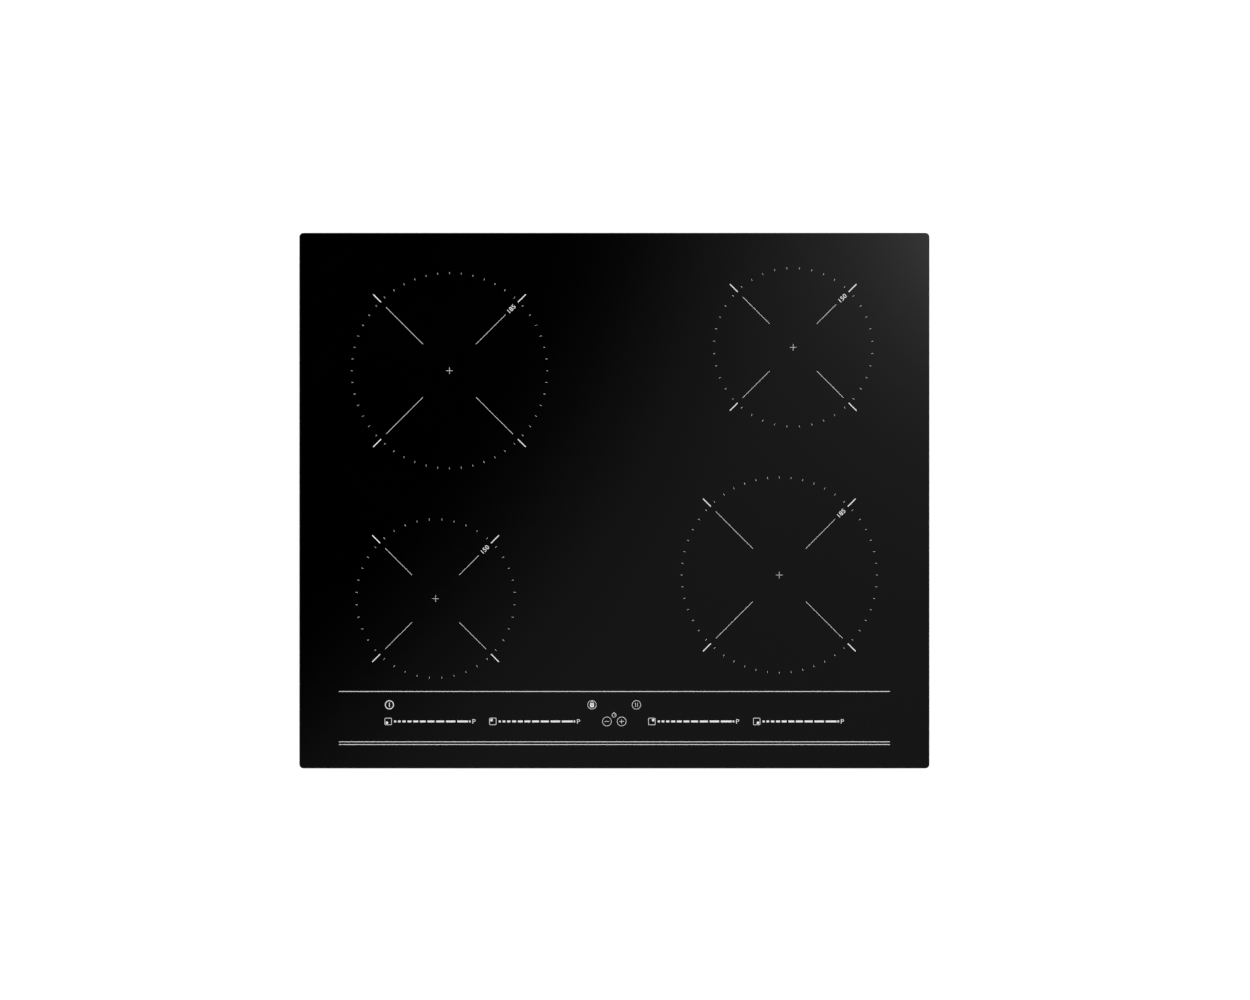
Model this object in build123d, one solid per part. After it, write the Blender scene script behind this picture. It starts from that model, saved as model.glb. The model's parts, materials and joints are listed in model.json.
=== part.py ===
from build123d import *
import math
import os
from collections import namedtuple

# Sizes are in millimetres. Z = 0 is the worktop's surface, +X is right and +Y is the rear of the hob.

# Glass plate
glass_width = 600.0
glass_depth = 510.0
glass_thickness = 4.0
glass_corner_radius = 4.0
glass_top_bevel = 0.6
glass_bottom_bevel = 0.4

# Seal, cut-out and casing
gasket_height = 2.0
gasket_width = 8.0
gasket_edge_inset = 2.0
glass_overlap_side = 20.0
glass_overlap_end = 10.0
cutout_gap = 8.0
casing_height = 50.0

# Carrier frame and bottom tray
bead_thickness = 0.8
bead_width = 8.0
frame_sheet = 1.0
frame_flange = 12.0
frame_skirt = 14.0
frame_corner_radius = 9.0
slip_gap = 0.2
tray_sheet = 0.8
tray_bend_radius = 1.6
frame_screw_side_inset = 142.0
frame_screw_end_inset = 97.0
frame_screw_drop = 7.0

# Air slots of the tray and its pressed beads
vent_width = 3.0
vent_pitch = 11.0
vent_height = 18.0
front_vent_side = 48.3
rear_vent_side = 38.3
rear_vent_gap = 27.5
pressed_bead_width = 9.0
pressed_bead_height = 1.2
pressed_bead_end = 45.0
pressed_bead_side = 50.0

# White enamel on the glass
print_thickness = 0.05
ring_margin = 0.5
tick_length = 1.8
tick_width = 0.26
bold_tick_overlap = 0.8
bold_tick_length = 10.5
bold_tick_width = 0.9
spoke_width = 0.32
spoke_ring_gap = 7.7
spoke_number_gap = 17.5
cross_size = 6.3
cross_width = 0.3

# Cooking zones, placed from the glass edges
large_zone_diameter = 185.0
small_zone_diameter = 150.0
large_zone_side = 143.0
small_zone_side = 129.8
rear_large_back = 131.3
rear_small_back = 109.1
front_small_front = 161.7
front_large_front = 184.2
large_zone_ticks = 52
small_zone_ticks = 40
large_spoke_start = 35.7
small_spoke_start = 31.8

# Control panel, placed from the glass's front edge and centre
panel_line_side = 37.75
panel_line_width = 0.56
panel_line_fronts = (73.3, 25.4, 22.8)
key_row_front = 60.6
slider_row_front = 44.8
slider_lefts = (-218.7, -119.1, 32.3, 132.1)
selector_dot_corners = ((-1, -1), (-1, 1), (1, 1), (1, -1))
selector_size = 6.75
selector_line = 0.43
selector_corner = 1.0
selector_dot = 2.5
slider_bar_start = 8.95
slider_bar_count = 10
slider_bar_height = 1.75
slider_bar_gap = 1.71
slider_bar_width = 2.05
slider_bar_step = 0.41
slider_bar_growth = 0.0565
slider_end_gap = 0.9
slider_end_width = 1.5
power_key_x = -214.2
lock_key_x = -21.3
pause_key_x = 21.0
minus_key_x = -7.1
plus_key_x = 6.9
key_ring = 8.5
step_key_ring = 8.85
key_line = 0.37
power_line = 0.75
key_sign = 4.25
pause_bar_height = 3.9
pause_bar_spread = 0.95

# Coil stack, from the glass down
insulation_thickness = 1.8
insulation_hole = 13.0
wire_diameter = 2.8
wire_pitch = 3.3
wire_slack = 0.1
lead_bend = 6.0
coil_inner_radius = 26.0
coil_zone_margin = 6.0
former_floor = 2.0
former_rim = 2.0
former_rim_slack = 0.5
former_hub_radius = 16.0
former_hub_wall = 2.0
former_window_width = 10.0
former_window_inset = 12.0
ferrite_count = 8
ferrite_width = 12.0
ferrite_thickness = 4.0
ferrite_inset = 8.0
ferrite_wall = 1.2
ferrite_wall_height = 2.5
ferrite_slack = 0.3
coil_screw_angles = (0, 90, 270)
coil_screw_reach = 0.62
coil_boss_radius = 4.0
coil_boss_cover = 0.6
lead_hole_slack = 1.6
sensor_radius = 7.5
sensor_edge = 1.0
sensor_lead_radius = 1.0

# Coil plates, support towers and bow springs
plate_sheet = 1.5
plate_hem = 6.0
plate_fan_gap = 10.0
plate_side_gap = 9.0
plate_holder_gap = 3.7
plate_rear_gap = 9.0
plate_hole_margin = 4.0
tower_length = 34.0
tower_width = 16.0
tower_corner = 3.0
tower_wall = 2.0
tower_roof = 3.0
tower_core = 8.0
tower_inset = 12.0
tower_pin_radius = 3.0
tower_pin_rise = 2.6
tower_peg_radius = 3.0
tower_fit = 0.1
tower_pin_slack = 0.4
spring_height = 9.0
spring_length = 28.0
spring_strip = 0.8
spring_width = 12.0
spring_slack = 0.1

# Power boards
board_thickness = 1.6
board_spacer_height = 6.0
board_spacer_radius = 3.5
board_corner = 2.0
board_fan_gap = 20.0
board_side_gap = 20.0
board_front_gap = 95.0
board_rear_gap = 55.0
board_screw_inset = 6.0
headroom = 1.5
heatsink_inset = 7.0
heatsink_width = 46.0
heatsink_front = 92.0
heatsink_rear = 54.0
heatsink_base = 5.0
heatsink_leg = 5.0
fin_thickness = 1.6
fin_pitch = 7.0
transistor_height = 5.0
transistor_width = 16.0
transistor_length = 21.0
transistor_count = 5
capacitor_width = 32.0
capacitor_depth = 18.0
capacitor_pitch = 26.0
capacitor_count = 4
capacitor_side = 12.0
capacitor_front = 140.0
capacitor_top_gap = 2.5
choke_radius = 14.0
choke_core_radius = 10.0
choke_flange = 2.0
choke_height = 22.0
choke_side = 34.0
choke_fronts = (36.0, 74.0)
connector_height = 8.0
connector_size = 9.0
connector_inset = 10.0
touch_socket_front = 22.0

# Fans
fan_size = 80.0
fan_height = 25.0
fan_corner = 4.0
fan_front_gap = 65.0
fan_rear_gap = 75.0
fan_rim = 2.0
fan_flange = 4.0
fan_hole_inset = 4.25
fan_recess = 3.0
fan_pad_margin = 6.0
fan_hub_radius = 17.0
fan_hub_wall = 1.5
fan_hub_gap = 1.0
fan_spoke = 3.0
fan_spoke_count = 4
fan_bush_radius = 3.0
fan_bush_wall = 1.5
fan_bush_length = 10.0
fan_shaft_radius = 1.5
fan_running_gap = 0.03
fan_blade_count = 7
fan_tip_gap = 1.5
fan_blade_root = 17.0
fan_blade_tip = 21.0
fan_blade_root_angle = 48.0
fan_blade_tip_angle = 33.0
fan_blade_thickness = 1.6
fan_floor_gap = 2.0
grille_rings = 3
grille_pitch = 8.0
grille_slot = 4.5
grille_arcs = 6
grille_bridge = 3.5

# Touch control
touch_board_depth = 34.0
touch_board_end = 13.0
touch_board_thickness = 1.6
touch_pad_height = 6.0
touch_row_front = 52.5
touch_pad_radius = 4.2
slider_pad_length = 62.0
slider_pad_depth = 5.0
digit_width = 10.0
digit_depth = 13.0
digit_gap = 0.2
digit_row_front = 59.0
timer_width = 16.0
holder_floor = 2.0
holder_wall = 1.6
holder_lip = 1.0
holder_slack = 1.2
holder_rib = 2.0
holder_rib_spread = 13.0
holder_tower_inset = 42.0

# Mains terminal box in the rear wall
terminal_wall = 2.0
terminal_side_gap = 34.0
terminal_width = 106.0
terminal_depth = 45.0
terminal_top_drop = 15.0
gland_width = 26.0
gland_thickness = 6.0
window_margin = 0.8
window_top_cover = 0.5
cover_sheet = 2.0
cover_gap = 0.4
cover_side_gap = 0.3
cover_lap = 1.5
hinge_rise = 5.2
knuckle_radius = 2.0
pin_radius = 1.2
pin_gap = 0.05
lug_width = 4.0
lug_reach = 10.0
tab_width = 14.0
tab_height = 1.5
tab_reach = 3.5
tab_drop = 3.5
grommet_radius = 8.0
grommet_bore = 6.5
grommet_flange = 10.5
grommet_flange_thickness = 2.0
block_depth = 14.0
block_gap = 2.0
block_height = 18.0
block_side_gap = 2.0
block_poles = 6
block_fin = 1.6
block_fin_reach = 5.0
cord_radius = 6.0
clamp_saddle_length = 23.0
clamp_saddle_width = 10.0
clamp_saddle_height = 7.0
clamp_saddle_rise = 2.0
clamp_saddle_inset = 12.0
clamp_screw_spread = 9.0
clamp_boss_radius = 3.0
harness_radius = 2.4
harness_bend = 3.6
harness_lane = 4.0
small_wire_radius = 1.4
small_wire_bend = 4.0
fan_lead_inset = 9.0
touch_lead_drop = 5.0

# Swing clamps on the side walls
clamp_corner_gap = 67.0
bracket_sheet = 1.2
bracket_width = 14.0
bracket_drop = 18.0
bracket_lift = 3.0
bracket_reach = 8.6
clamp_axis_reach = 5.2
clamp_screw_radius = 1.9
clamp_hub_radius = 3.6
clamp_hub_height = 8.0
clamp_hub_lift = 10.0
clamp_running_gap = 0.06
clamp_arm_length = 26.0
clamp_arm_width = 6.0
clamp_arm_thickness = 2.5
clamp_tooth = 3.0
clamp_hole_slack = 0.3

# Screws
Screw = namedtuple("Screw", "radius length head_radius head_height")
frame_screw = Screw(1.6, 6.0, 3.6, 2.0)
board_screw = Screw(1.45, 5.0, 2.8, 1.8)
coil_screw = Screw(1.45, 4.6, 2.8, 1.8)
fan_screw = Screw(1.9, 4.6, 3.6, 2.0)
clamp_screw = Screw(clamp_screw_radius, 31.5, 3.4, 2.4)
cord_screw = Screw(1.45, 12.0, 2.8, 1.8)
pole_screw = Screw(1.6, 8.0, 3.0, 2.0)
screw_fit = 0.05
screw_hole_slack = 0.3
recess_width = 0.9
recess_depth = 1.0
recess_share = 1.2
head_round_share = 0.4

# Heights
glass_bottom = gasket_height
glass_surface = glass_bottom + glass_thickness
frame_top = glass_bottom - bead_thickness
flange_bottom = frame_top - frame_sheet
skirt_bottom = flange_bottom - frame_skirt
floor_under = -casing_height
floor_top = floor_under + tray_sheet
insulation_bottom = glass_bottom - insulation_thickness
wire_level = insulation_bottom - wire_slack - wire_diameter / 2
former_top = wire_level - wire_diameter / 2 - wire_slack
former_bottom = former_top - former_floor
plate_top = former_bottom - ferrite_thickness
plate_bottom = plate_top - plate_sheet
tower_top = plate_bottom - spring_height
board_bottom = floor_top + board_spacer_height
board_top = board_bottom + board_thickness
connector_top = board_top + connector_height
component_top = plate_bottom - coil_screw.head_height - headroom
fan_bottom = floor_top + fan_recess
fan_top = fan_bottom + fan_height
touch_board_top = glass_bottom - touch_pad_height
touch_board_bottom = touch_board_top - touch_board_thickness
terminal_top = -terminal_top_drop
cord_level = (terminal_top + floor_top) / 2
hinge_level = floor_top + hinge_rise

# Outlines
cutout_width = glass_width - 2 * glass_overlap_side
cutout_depth = glass_depth - 2 * glass_overlap_end
casing_width = cutout_width - 2 * cutout_gap
casing_depth = cutout_depth - 2 * cutout_gap
tray_width = casing_width - 2 * (frame_sheet + slip_gap)
tray_depth = casing_depth - 2 * (frame_sheet + slip_gap)
tray_corner_radius = frame_corner_radius - frame_sheet - slip_gap
tray_side = tray_width / 2
tray_end = tray_depth / 2
inner_side = tray_side - tray_sheet
inner_end = tray_end - tray_sheet
front_edge = -glass_depth / 2
key_row = front_edge + key_row_front
slider_row = front_edge + slider_row_front
touch_row = front_edge + touch_row_front
digit_row = front_edge + digit_row_front
panel_line_length = glass_width - 2 * panel_line_side
touch_board_length = 2 * (touch_board_end - slider_lefts[0])
holder_depth = touch_board_depth + 2 * (holder_slack + holder_wall)
holder_tower_x = touch_board_length / 2 - holder_tower_inset
plate_x = (fan_size / 2 + plate_fan_gap, inner_side - plate_side_gap)
plate_y = (touch_row + holder_depth / 2 + plate_holder_gap, inner_end - plate_rear_gap)
board_middle = fan_size / 2 + board_fan_gap
board_x = (board_middle, inner_side - board_side_gap)
board_y = (-inner_end + board_front_gap, inner_end - board_rear_gap)
pressed_beads_x = (board_x[0] + pressed_bead_side, board_x[1] - pressed_bead_side)
pressed_bead_length = board_y[1] - board_y[0] - 2 * pressed_bead_end
pressed_bead_y = (board_y[0] + board_y[1]) / 2
fan_front_y = board_y[0] + fan_front_gap
fan_rear_y = board_y[1] - fan_rear_gap
fan_centres = (fan_front_y, fan_rear_y)
fan_bore = fan_size - 2 * fan_rim
fan_hole_pitch = fan_size - 2 * fan_hole_inset
grille_radii = [fan_bore / 2 - grille_pitch * (k + 1) for k in range(grille_rings)]
clamp_y = casing_depth / 2 - clamp_corner_gap
terminal_right = inner_side - terminal_side_gap
terminal_left = terminal_right - terminal_width
terminal_front = inner_end - terminal_depth
gland_x = (terminal_right - terminal_wall - gland_width, terminal_right - terminal_wall)
cord_x = (gland_x[0] + gland_x[1]) / 2
hinge_y = tray_end + cover_gap + knuckle_radius
block_front = terminal_front + terminal_wall + block_gap
block_y = (block_front, block_front + block_depth)
slider_bar_widths = [
    slider_bar_width + k * slider_bar_step + k * k * slider_bar_growth for k in range(slider_bar_count)
]
slider_length = slider_bar_start + sum(slider_bar_widths) + slider_bar_count * slider_bar_gap


class Zone:
    """One cooking zone: its place, its print and the sizes of the coil below it."""

    def __init__(self, name, x, y, diameter, ticks, spoke_start, lead_turn):
        self.name = name
        self.x = x
        self.y = y
        self.ring_radius = diameter / 2 + ring_margin
        self.ticks = ticks
        self.spoke_start = spoke_start
        self.lead_turn = lead_turn
        self.coil_envelope = diameter / 2 - coil_zone_margin
        room = self.coil_envelope - wire_diameter / 2 - coil_inner_radius
        self.turns = math.floor(room / wire_pitch)
        self.coil_radius = coil_inner_radius + self.turns * wire_pitch
        self.former_radius = self.coil_envelope + former_rim_slack + former_rim
        self.board_side = math.copysign(1, x)

    def place(self, level):
        return Pos(self.x, self.y, level) * Rot(0, 0, self.lead_turn)

    def point(self, x, y):
        """A point of the coil's own axes, as hob coordinates."""
        turn = math.radians(self.lead_turn)
        across = self.x + x * math.cos(turn) - y * math.sin(turn)
        along = self.y + x * math.sin(turn) + y * math.cos(turn)
        return across, along

    def lead_points(self):
        inner = self.point(-coil_inner_radius, lead_bend)
        outer = self.point(-self.coil_radius, -lead_bend)
        return inner, outer

    def screw_points(self):
        reach = self.coil_envelope * coil_screw_reach
        turns = [math.radians(angle) for angle in coil_screw_angles]
        return [self.point(reach * math.cos(t), reach * math.sin(t)) for t in turns]


zones = (
    Zone("rear_left", large_zone_side - glass_width / 2, glass_depth / 2 - rear_large_back,
         large_zone_diameter, large_zone_ticks, large_spoke_start, 90),
    Zone("rear_right", glass_width / 2 - small_zone_side, glass_depth / 2 - rear_small_back,
         small_zone_diameter, small_zone_ticks, small_spoke_start, 90),
    Zone("front_left", small_zone_side - glass_width / 2, front_edge + front_small_front,
         small_zone_diameter, small_zone_ticks, small_spoke_start, -90),
    Zone("front_right", glass_width / 2 - large_zone_side, front_edge + front_large_front,
         large_zone_diameter, large_zone_ticks, large_spoke_start, -90),
)


# Plain shapes

def upright(outline, bottom, top, x=0.0, y=0.0):
    return extrude(Pos(x, y, bottom) * outline, top - bottom)


def bar(x, y, z):
    size = (x[1] - x[0], y[1] - y[0], z[1] - z[0])
    return Pos((x[0] + x[1]) / 2, (y[0] + y[1]) / 2, (z[0] + z[1]) / 2) * Box(*size)


def rod(radius, start, end):
    run = Vector(end) - Vector(start)
    stand = (Align.CENTER, Align.CENTER, Align.MIN)
    return Plane(origin=start, z_dir=run) * Cylinder(radius, run.length, align=stand)


def tube(radius, path):
    return sweep(Plane(origin=path @ 0, z_dir=path % 0) * Circle(radius), path)


def frame_ring(width, depth, radius, wall, bottom, top):
    inner_radius = max(radius - wall, tray_sheet)
    outline = RectangleRounded(width, depth, radius)
    outline -= RectangleRounded(width - 2 * wall, depth - 2 * wall, inner_radius)
    return upright(outline, bottom, top)


def group(pieces):
    return Compound([solid for piece in pieces for solid in piece.solids()])


def both_sides(span):
    """A span of x on the right half, and its mirror on the left half."""
    return {"left": (-span[1], -span[0]), "right": span}


def screw_at(seat, size):
    """A pan-head screw with its head standing on the seat plane and a cross recess in the head."""
    shank = Cylinder(size.radius, size.length, align=(Align.CENTER, Align.CENTER, Align.MAX))
    head = Cylinder(size.head_radius, size.head_height, align=(Align.CENTER, Align.CENTER, Align.MIN))
    head = fillet(head.edges().sort_by(Axis.Z)[-1], size.head_height * head_round_share)
    reach = size.head_radius * recess_share
    notch = Box(reach, recess_width, recess_depth) + Box(recess_width, reach, recess_depth)
    body = shank + head - Pos(0, 0, size.head_height - recess_depth / 2) * notch
    return seat * body


# Glass, seal and casing

def glass_top():
    outline = RectangleRounded(glass_width, glass_depth, glass_corner_radius)
    pane = upright(outline, glass_bottom, glass_surface)
    pane = chamfer(pane.faces().sort_by(Axis.Z)[-1].edges(), glass_top_bevel)
    return chamfer(pane.faces().sort_by(Axis.Z)[0].edges(), glass_bottom_bevel)


def worktop_gasket():
    width = glass_width - 2 * gasket_edge_inset
    depth = glass_depth - 2 * gasket_edge_inset
    return frame_ring(width, depth, glass_corner_radius, gasket_width, 0, glass_bottom)


def bond_bead():
    inset = (frame_flange - bead_width) / 2
    width = casing_width - 2 * inset
    depth = casing_depth - 2 * inset
    return frame_ring(width, depth, frame_corner_radius - inset, bead_width, frame_top, glass_bottom)


def frame_screw_seats():
    level = flange_bottom - frame_screw_drop
    half_width = casing_width / 2
    half_depth = casing_depth / 2
    seats = []
    for along in (-1, 1):
        for out in (-1, 1):
            side = (out * half_width, along * (half_depth - frame_screw_side_inset), level)
            end = (along * (half_width - frame_screw_end_inset), out * half_depth, level)
            seats.append(Plane(origin=side, z_dir=(out, 0, 0)))
            seats.append(Plane(origin=end, z_dir=(0, out, 0)))
    return seats


def screw_holes(radius):
    return [seat * Cylinder(radius, 2 * frame_screw.length) for seat in frame_screw_seats()]


def carrier_frame():
    outside = (casing_width, casing_depth, frame_corner_radius)
    flange = frame_ring(*outside, frame_flange, flange_bottom, frame_top)
    skirt = frame_ring(*outside, frame_sheet, skirt_bottom, frame_top)
    return flange + skirt - screw_holes(frame_screw.radius + screw_hole_slack)


def frame_screws():
    return group([screw_at(seat, frame_screw) for seat in frame_screw_seats()])


def fan_grille(centre):
    arcs = Sketch()
    step = 360 / grille_arcs
    for radius in grille_radii:
        arc_angle = step - math.degrees((grille_slot + grille_bridge) / radius)
        for k in range(grille_arcs):
            arcs += SlotArc(CenterArc((0, centre), radius, step * k, arc_angle), grille_slot)
    return upright(arcs, floor_under, floor_top + fan_recess)


def fan_hole_points(centre):
    half = fan_hole_pitch / 2
    return [(x, centre + y) for x in (-half, half) for y in (-half, half)]


def wall_vents():
    level = (skirt_bottom + floor_under) / 2
    slot = Box(vent_width, 4 * tray_sheet, vent_height)
    front = (front_vent_side - tray_side, tray_side - front_vent_side)
    rear = (rear_vent_side - tray_side, terminal_left - rear_vent_gap)
    places = []
    for (start, end), wall in ((front, -tray_end), (rear, tray_end)):
        count = int((end - start) / vent_pitch) + 1
        first = (start + end - (count - 1) * vent_pitch) / 2
        places += [Pos(first + k * vent_pitch, wall, level) * slot for k in range(count)]
    return places


def terminal_window():
    margin = window_margin / 2
    x = (terminal_left + terminal_wall - margin, terminal_right - terminal_wall + margin)
    z = (hinge_level - knuckle_radius - margin, terminal_top - terminal_wall - window_top_cover)
    return bar(x, (inner_end - tray_sheet, tray_end + tray_sheet), z)


def bottom_tray():
    tray = upright(RectangleRounded(tray_width, tray_depth, tray_corner_radius), floor_under, flange_bottom)
    tray = fillet(tray.faces().sort_by(Axis.Z)[0].edges(), tray_bend_radius + tray_sheet)
    inside = RectangleRounded(2 * inner_side, 2 * inner_end, tray_corner_radius - tray_sheet)
    room = upright(inside, floor_top, flange_bottom + tray_sheet)
    room = fillet(room.faces().sort_by(Axis.Z)[0].edges(), tray_bend_radius)
    tray -= room
    pad = fan_size + 2 * fan_pad_margin
    for centre in fan_centres:
        raised = RectangleRounded(pad + 2 * tray_sheet, pad + 2 * tray_sheet, fan_corner + tray_sheet)
        tray += upright(raised, floor_under, fan_bottom, 0, centre)
        sunk = RectangleRounded(pad, pad, fan_corner)
        tray -= upright(sunk, floor_under, fan_bottom - tray_sheet, 0, centre)
        tray -= fan_grille(centre)
        hole = Circle(fan_screw.radius + screw_hole_slack)
        tray -= [upright(hole, floor_under, fan_bottom, *point) for point in fan_hole_points(centre)]
    for side in (-1, 1):
        for reach in pressed_beads_x:
            ridge = Rot(0, 0, 90) * SlotOverall(pressed_bead_length, pressed_bead_width + 2 * tray_sheet)
            groove = Rot(0, 0, 90) * SlotOverall(pressed_bead_length - 2 * tray_sheet, pressed_bead_width)
            place = (side * reach, pressed_bead_y)
            tray += upright(ridge, floor_under, floor_top + pressed_bead_height, *place)
            tray -= upright(groove, floor_under, floor_under + pressed_bead_height, *place)
    tray -= wall_vents()
    tray -= terminal_window()
    tray -= screw_holes(frame_screw.radius + screw_fit)
    peg_hole = Circle(tower_peg_radius + tower_fit)
    tray -= [upright(peg_hole, floor_under, floor_top, x, y) for x, y, turn in tower_places()]
    return tray


# Print on the glass

def zone_marks(zone):
    here = Pos(zone.x, zone.y, glass_surface)
    outward = (Align.MIN, Align.CENTER, Align.MIN)
    step = 360 / zone.ticks
    start = 0 if zone.ticks % 8 else step / 2  # no tick falls on a diagonal
    tick = Box(tick_length, tick_width, print_thickness, align=outward)
    tick = Pos(zone.ring_radius - tick_length / 2, 0, 0) * tick
    marks = [here * Rot(0, 0, start + k * step) * tick for k in range(zone.ticks)]
    bold = Box(bold_tick_length, bold_tick_width, print_thickness, align=outward)
    for quarter in range(4):
        turn = Rot(0, 0, 45 + 90 * quarter)
        marks.append(here * turn * Pos(zone.ring_radius - bold_tick_overlap, 0, 0) * bold)
        ring_gap = spoke_ring_gap if quarter else spoke_number_gap
        length = zone.ring_radius - ring_gap - zone.spoke_start
        spoke = Box(length, spoke_width, print_thickness, align=outward)
        marks.append(here * turn * Pos(zone.spoke_start, 0, 0) * spoke)
    marks.append(here * plus_sign(cross_size, cross_width))
    return marks


def plus_sign(size, width):
    return upright(Rectangle(size, width) + Rectangle(width, size), 0, print_thickness)


def printed(outline, x, y):
    return upright(outline, glass_surface, glass_surface + print_thickness, x, y)


def slider_marks(left, corner):
    middle = left + selector_size / 2
    hole = selector_size - 2 * selector_line
    frame = RectangleRounded(selector_size, selector_size, selector_corner)
    frame -= RectangleRounded(hole, hole, selector_corner - selector_line)
    marks = [printed(frame, middle, slider_row)]
    offset = hole / 2 - selector_dot / 2 - selector_line
    dot_place = (middle + corner[0] * offset, slider_row + corner[1] * offset)
    marks.append(printed(Circle(selector_dot / 2), *dot_place))
    x = left + slider_bar_start
    for width in slider_bar_widths:
        marks.append(printed(Rectangle(width, slider_bar_height), x + width / 2, slider_row))
        x += width + slider_bar_gap
    end_x = x - slider_bar_gap + slider_end_gap + slider_end_width / 2
    marks.append(printed(Rectangle(slider_end_width, slider_bar_height), end_x, slider_row))
    return marks


def key_marks():
    ring = Circle(key_ring / 2) - Circle(key_ring / 2 - key_line)
    step_ring = Circle(step_key_ring / 2) - Circle(step_key_ring / 2 - key_line)
    heavy_ring = Circle(key_ring / 2) - Circle(key_ring / 2 - power_line)
    marks = [printed(heavy_ring, power_key_x, key_row)]
    marks += [printed(ring, x, key_row) for x in (lock_key_x, pause_key_x)]
    marks += [printed(step_ring, x, slider_row) for x in (minus_key_x, plus_key_x)]
    marks.append(printed(Rectangle(power_line, key_sign), power_key_x, key_row))
    pause_bar = Rectangle(key_line, pause_bar_height)
    for side in (-1, 1):
        marks.append(printed(pause_bar, pause_key_x + side * pause_bar_spread, key_row))
    marks.append(printed(Rectangle(key_sign, key_line), minus_key_x, slider_row))
    marks.append(Pos(plus_key_x, slider_row, glass_surface) * plus_sign(key_sign, key_line))
    return marks


def glass_print():
    marks = [mark for zone in zones for mark in zone_marks(zone)]
    line = Rectangle(panel_line_length, panel_line_width)
    marks += [printed(line, 0, front_edge + front) for front in panel_line_fronts]
    for left, corner in zip(slider_lefts, selector_dot_corners):
        marks += slider_marks(left, corner)
    return group(marks + key_marks())


# Coils

def winding_edges(zone):
    """The winding's centre line: lead up, spiral of half circles, lead down."""
    drop = wire_level - connector_top
    bend = lead_bend
    slant = bend * math.cos(math.radians(45))
    near = -coil_inner_radius
    far = -zone.coil_radius
    edges = [Line((near, bend, -drop), (near, bend, -bend))]
    edges.append(ThreePointArc((near, bend, -bend), (near, slant, slant - bend), (near, 0, 0)))
    for k in range(zone.turns):
        radius = coil_inner_radius + k * wire_pitch
        edges.append(CenterArc((0, 0), radius, 180, 180))
        edges.append(CenterArc((-wire_pitch / 2, 0), radius + wire_pitch / 2, 0, 180))
    edges.append(ThreePointArc((far, 0, 0), (far, -slant, slant - bend), (far, -bend, -bend)))
    edges.append(Line((far, -bend, -bend), (far, -bend, -drop)))
    return edges


def least_gap(edges):
    """The least clear space between one half turn and the half turns one whole turn away."""
    points = [[edge @ (k / 12) for k in range(13)] for edge in edges]
    gaps = [(p - q).length for a, b in zip(points, points[2:]) for p in a for q in b]
    return min(gaps) - wire_diameter


def coil_winding(zone):
    edges = winding_edges(zone)
    print(f"{zone.name} winding: {zone.turns} turns, least gap {least_gap(edges[2:-2]):.2f} mm")
    return zone.place(wire_level) * tube(wire_diameter / 2, Wire(edges))


def ferrite_span(zone):
    return coil_inner_radius + ferrite_inset, zone.coil_envelope - ferrite_inset


def ferrite_turns():
    step = 360 / ferrite_count
    return [Rot(0, 0, step * (k + 0.5)) for k in range(ferrite_count)]


def coil_former(zone):
    hub = Circle(former_hub_radius) - Circle(former_hub_radius - former_hub_wall)
    rim = Circle(zone.former_radius) - Circle(zone.former_radius - former_rim)
    former = upright(Circle(zone.former_radius), former_bottom, former_top)
    former += upright(hub, former_top, insulation_bottom)
    former += upright(rim, former_top, insulation_bottom)
    start, end = ferrite_span(zone)
    clear = 2 * ferrite_slack
    seat = Rectangle(end - start + clear + 2 * ferrite_wall, ferrite_width + clear + 2 * ferrite_wall)
    seat -= Rectangle(end - start + clear, ferrite_width + clear)
    middle = Pos((start + end) / 2, 0, 0)
    seat_bottom = former_bottom - ferrite_wall_height
    former += [upright(turn * middle * seat, seat_bottom, former_bottom) for turn in ferrite_turns()]
    window = SlotOverall(end - start - former_window_inset, former_window_width)
    windows = [Rot(0, 0, 45 + 90 * k) * middle * window for k in range(4)]
    former -= [upright(outline, former_bottom, former_top) for outline in windows]
    former -= upright(Circle(sensor_lead_radius + lead_hole_slack), former_bottom, former_top)
    gate_width = wire_diameter + 2 * lead_hole_slack
    gate = Rectangle(gate_width, gate_width + 2 * lead_bend)
    former -= [upright(gate, former_bottom, former_top, x) for x in (-coil_inner_radius, -zone.coil_radius)]
    reach = zone.coil_envelope * coil_screw_reach
    bore = Circle(coil_screw.radius + screw_fit)
    for angle in coil_screw_angles:
        spot = Rot(0, 0, angle) * Pos(reach, 0, 0)
        former += upright(spot * Circle(coil_boss_radius), plate_top, former_bottom)
        former -= upright(spot * bore, plate_top, former_bottom - coil_boss_cover)
    return zone.place(0) * former


def ferrite_bars():
    bars = []
    for zone in zones:
        start, end = ferrite_span(zone)
        stick = bar((start, end), (-ferrite_width / 2, ferrite_width / 2), (plate_top, former_bottom))
        bars += [zone.place(0) * turn * stick for turn in ferrite_turns()]
    return group(bars)


def insulation_discs():
    discs = []
    for zone in zones:
        outline = Circle(zone.former_radius) - Circle(insulation_hole)
        discs.append(upright(outline, insulation_bottom, glass_bottom, zone.x, zone.y))
    return group(discs)


def temperature_sensors():
    caps = []
    for zone in zones:
        cap = upright(Circle(sensor_radius), former_top, glass_bottom, zone.x, zone.y)
        caps.append(chamfer(cap.edges().sort_by(Axis.Z)[-1], sensor_edge))
    return group(caps)


# Coil plates and their spring supports

def tower_places():
    """Each tower's x, y and turn: four under each coil plate, three under the touch holder."""
    reach_x = (plate_x[0] + tower_inset, plate_x[1] - tower_inset)
    reach_y = (plate_y[0] + tower_inset, plate_y[1] - tower_inset)
    places = [(side * x, y, 90) for side in (-1, 1) for x in reach_x for y in reach_y]
    return places + [(x, touch_row, 0) for x in (-holder_tower_x, 0, holder_tower_x)]


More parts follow.
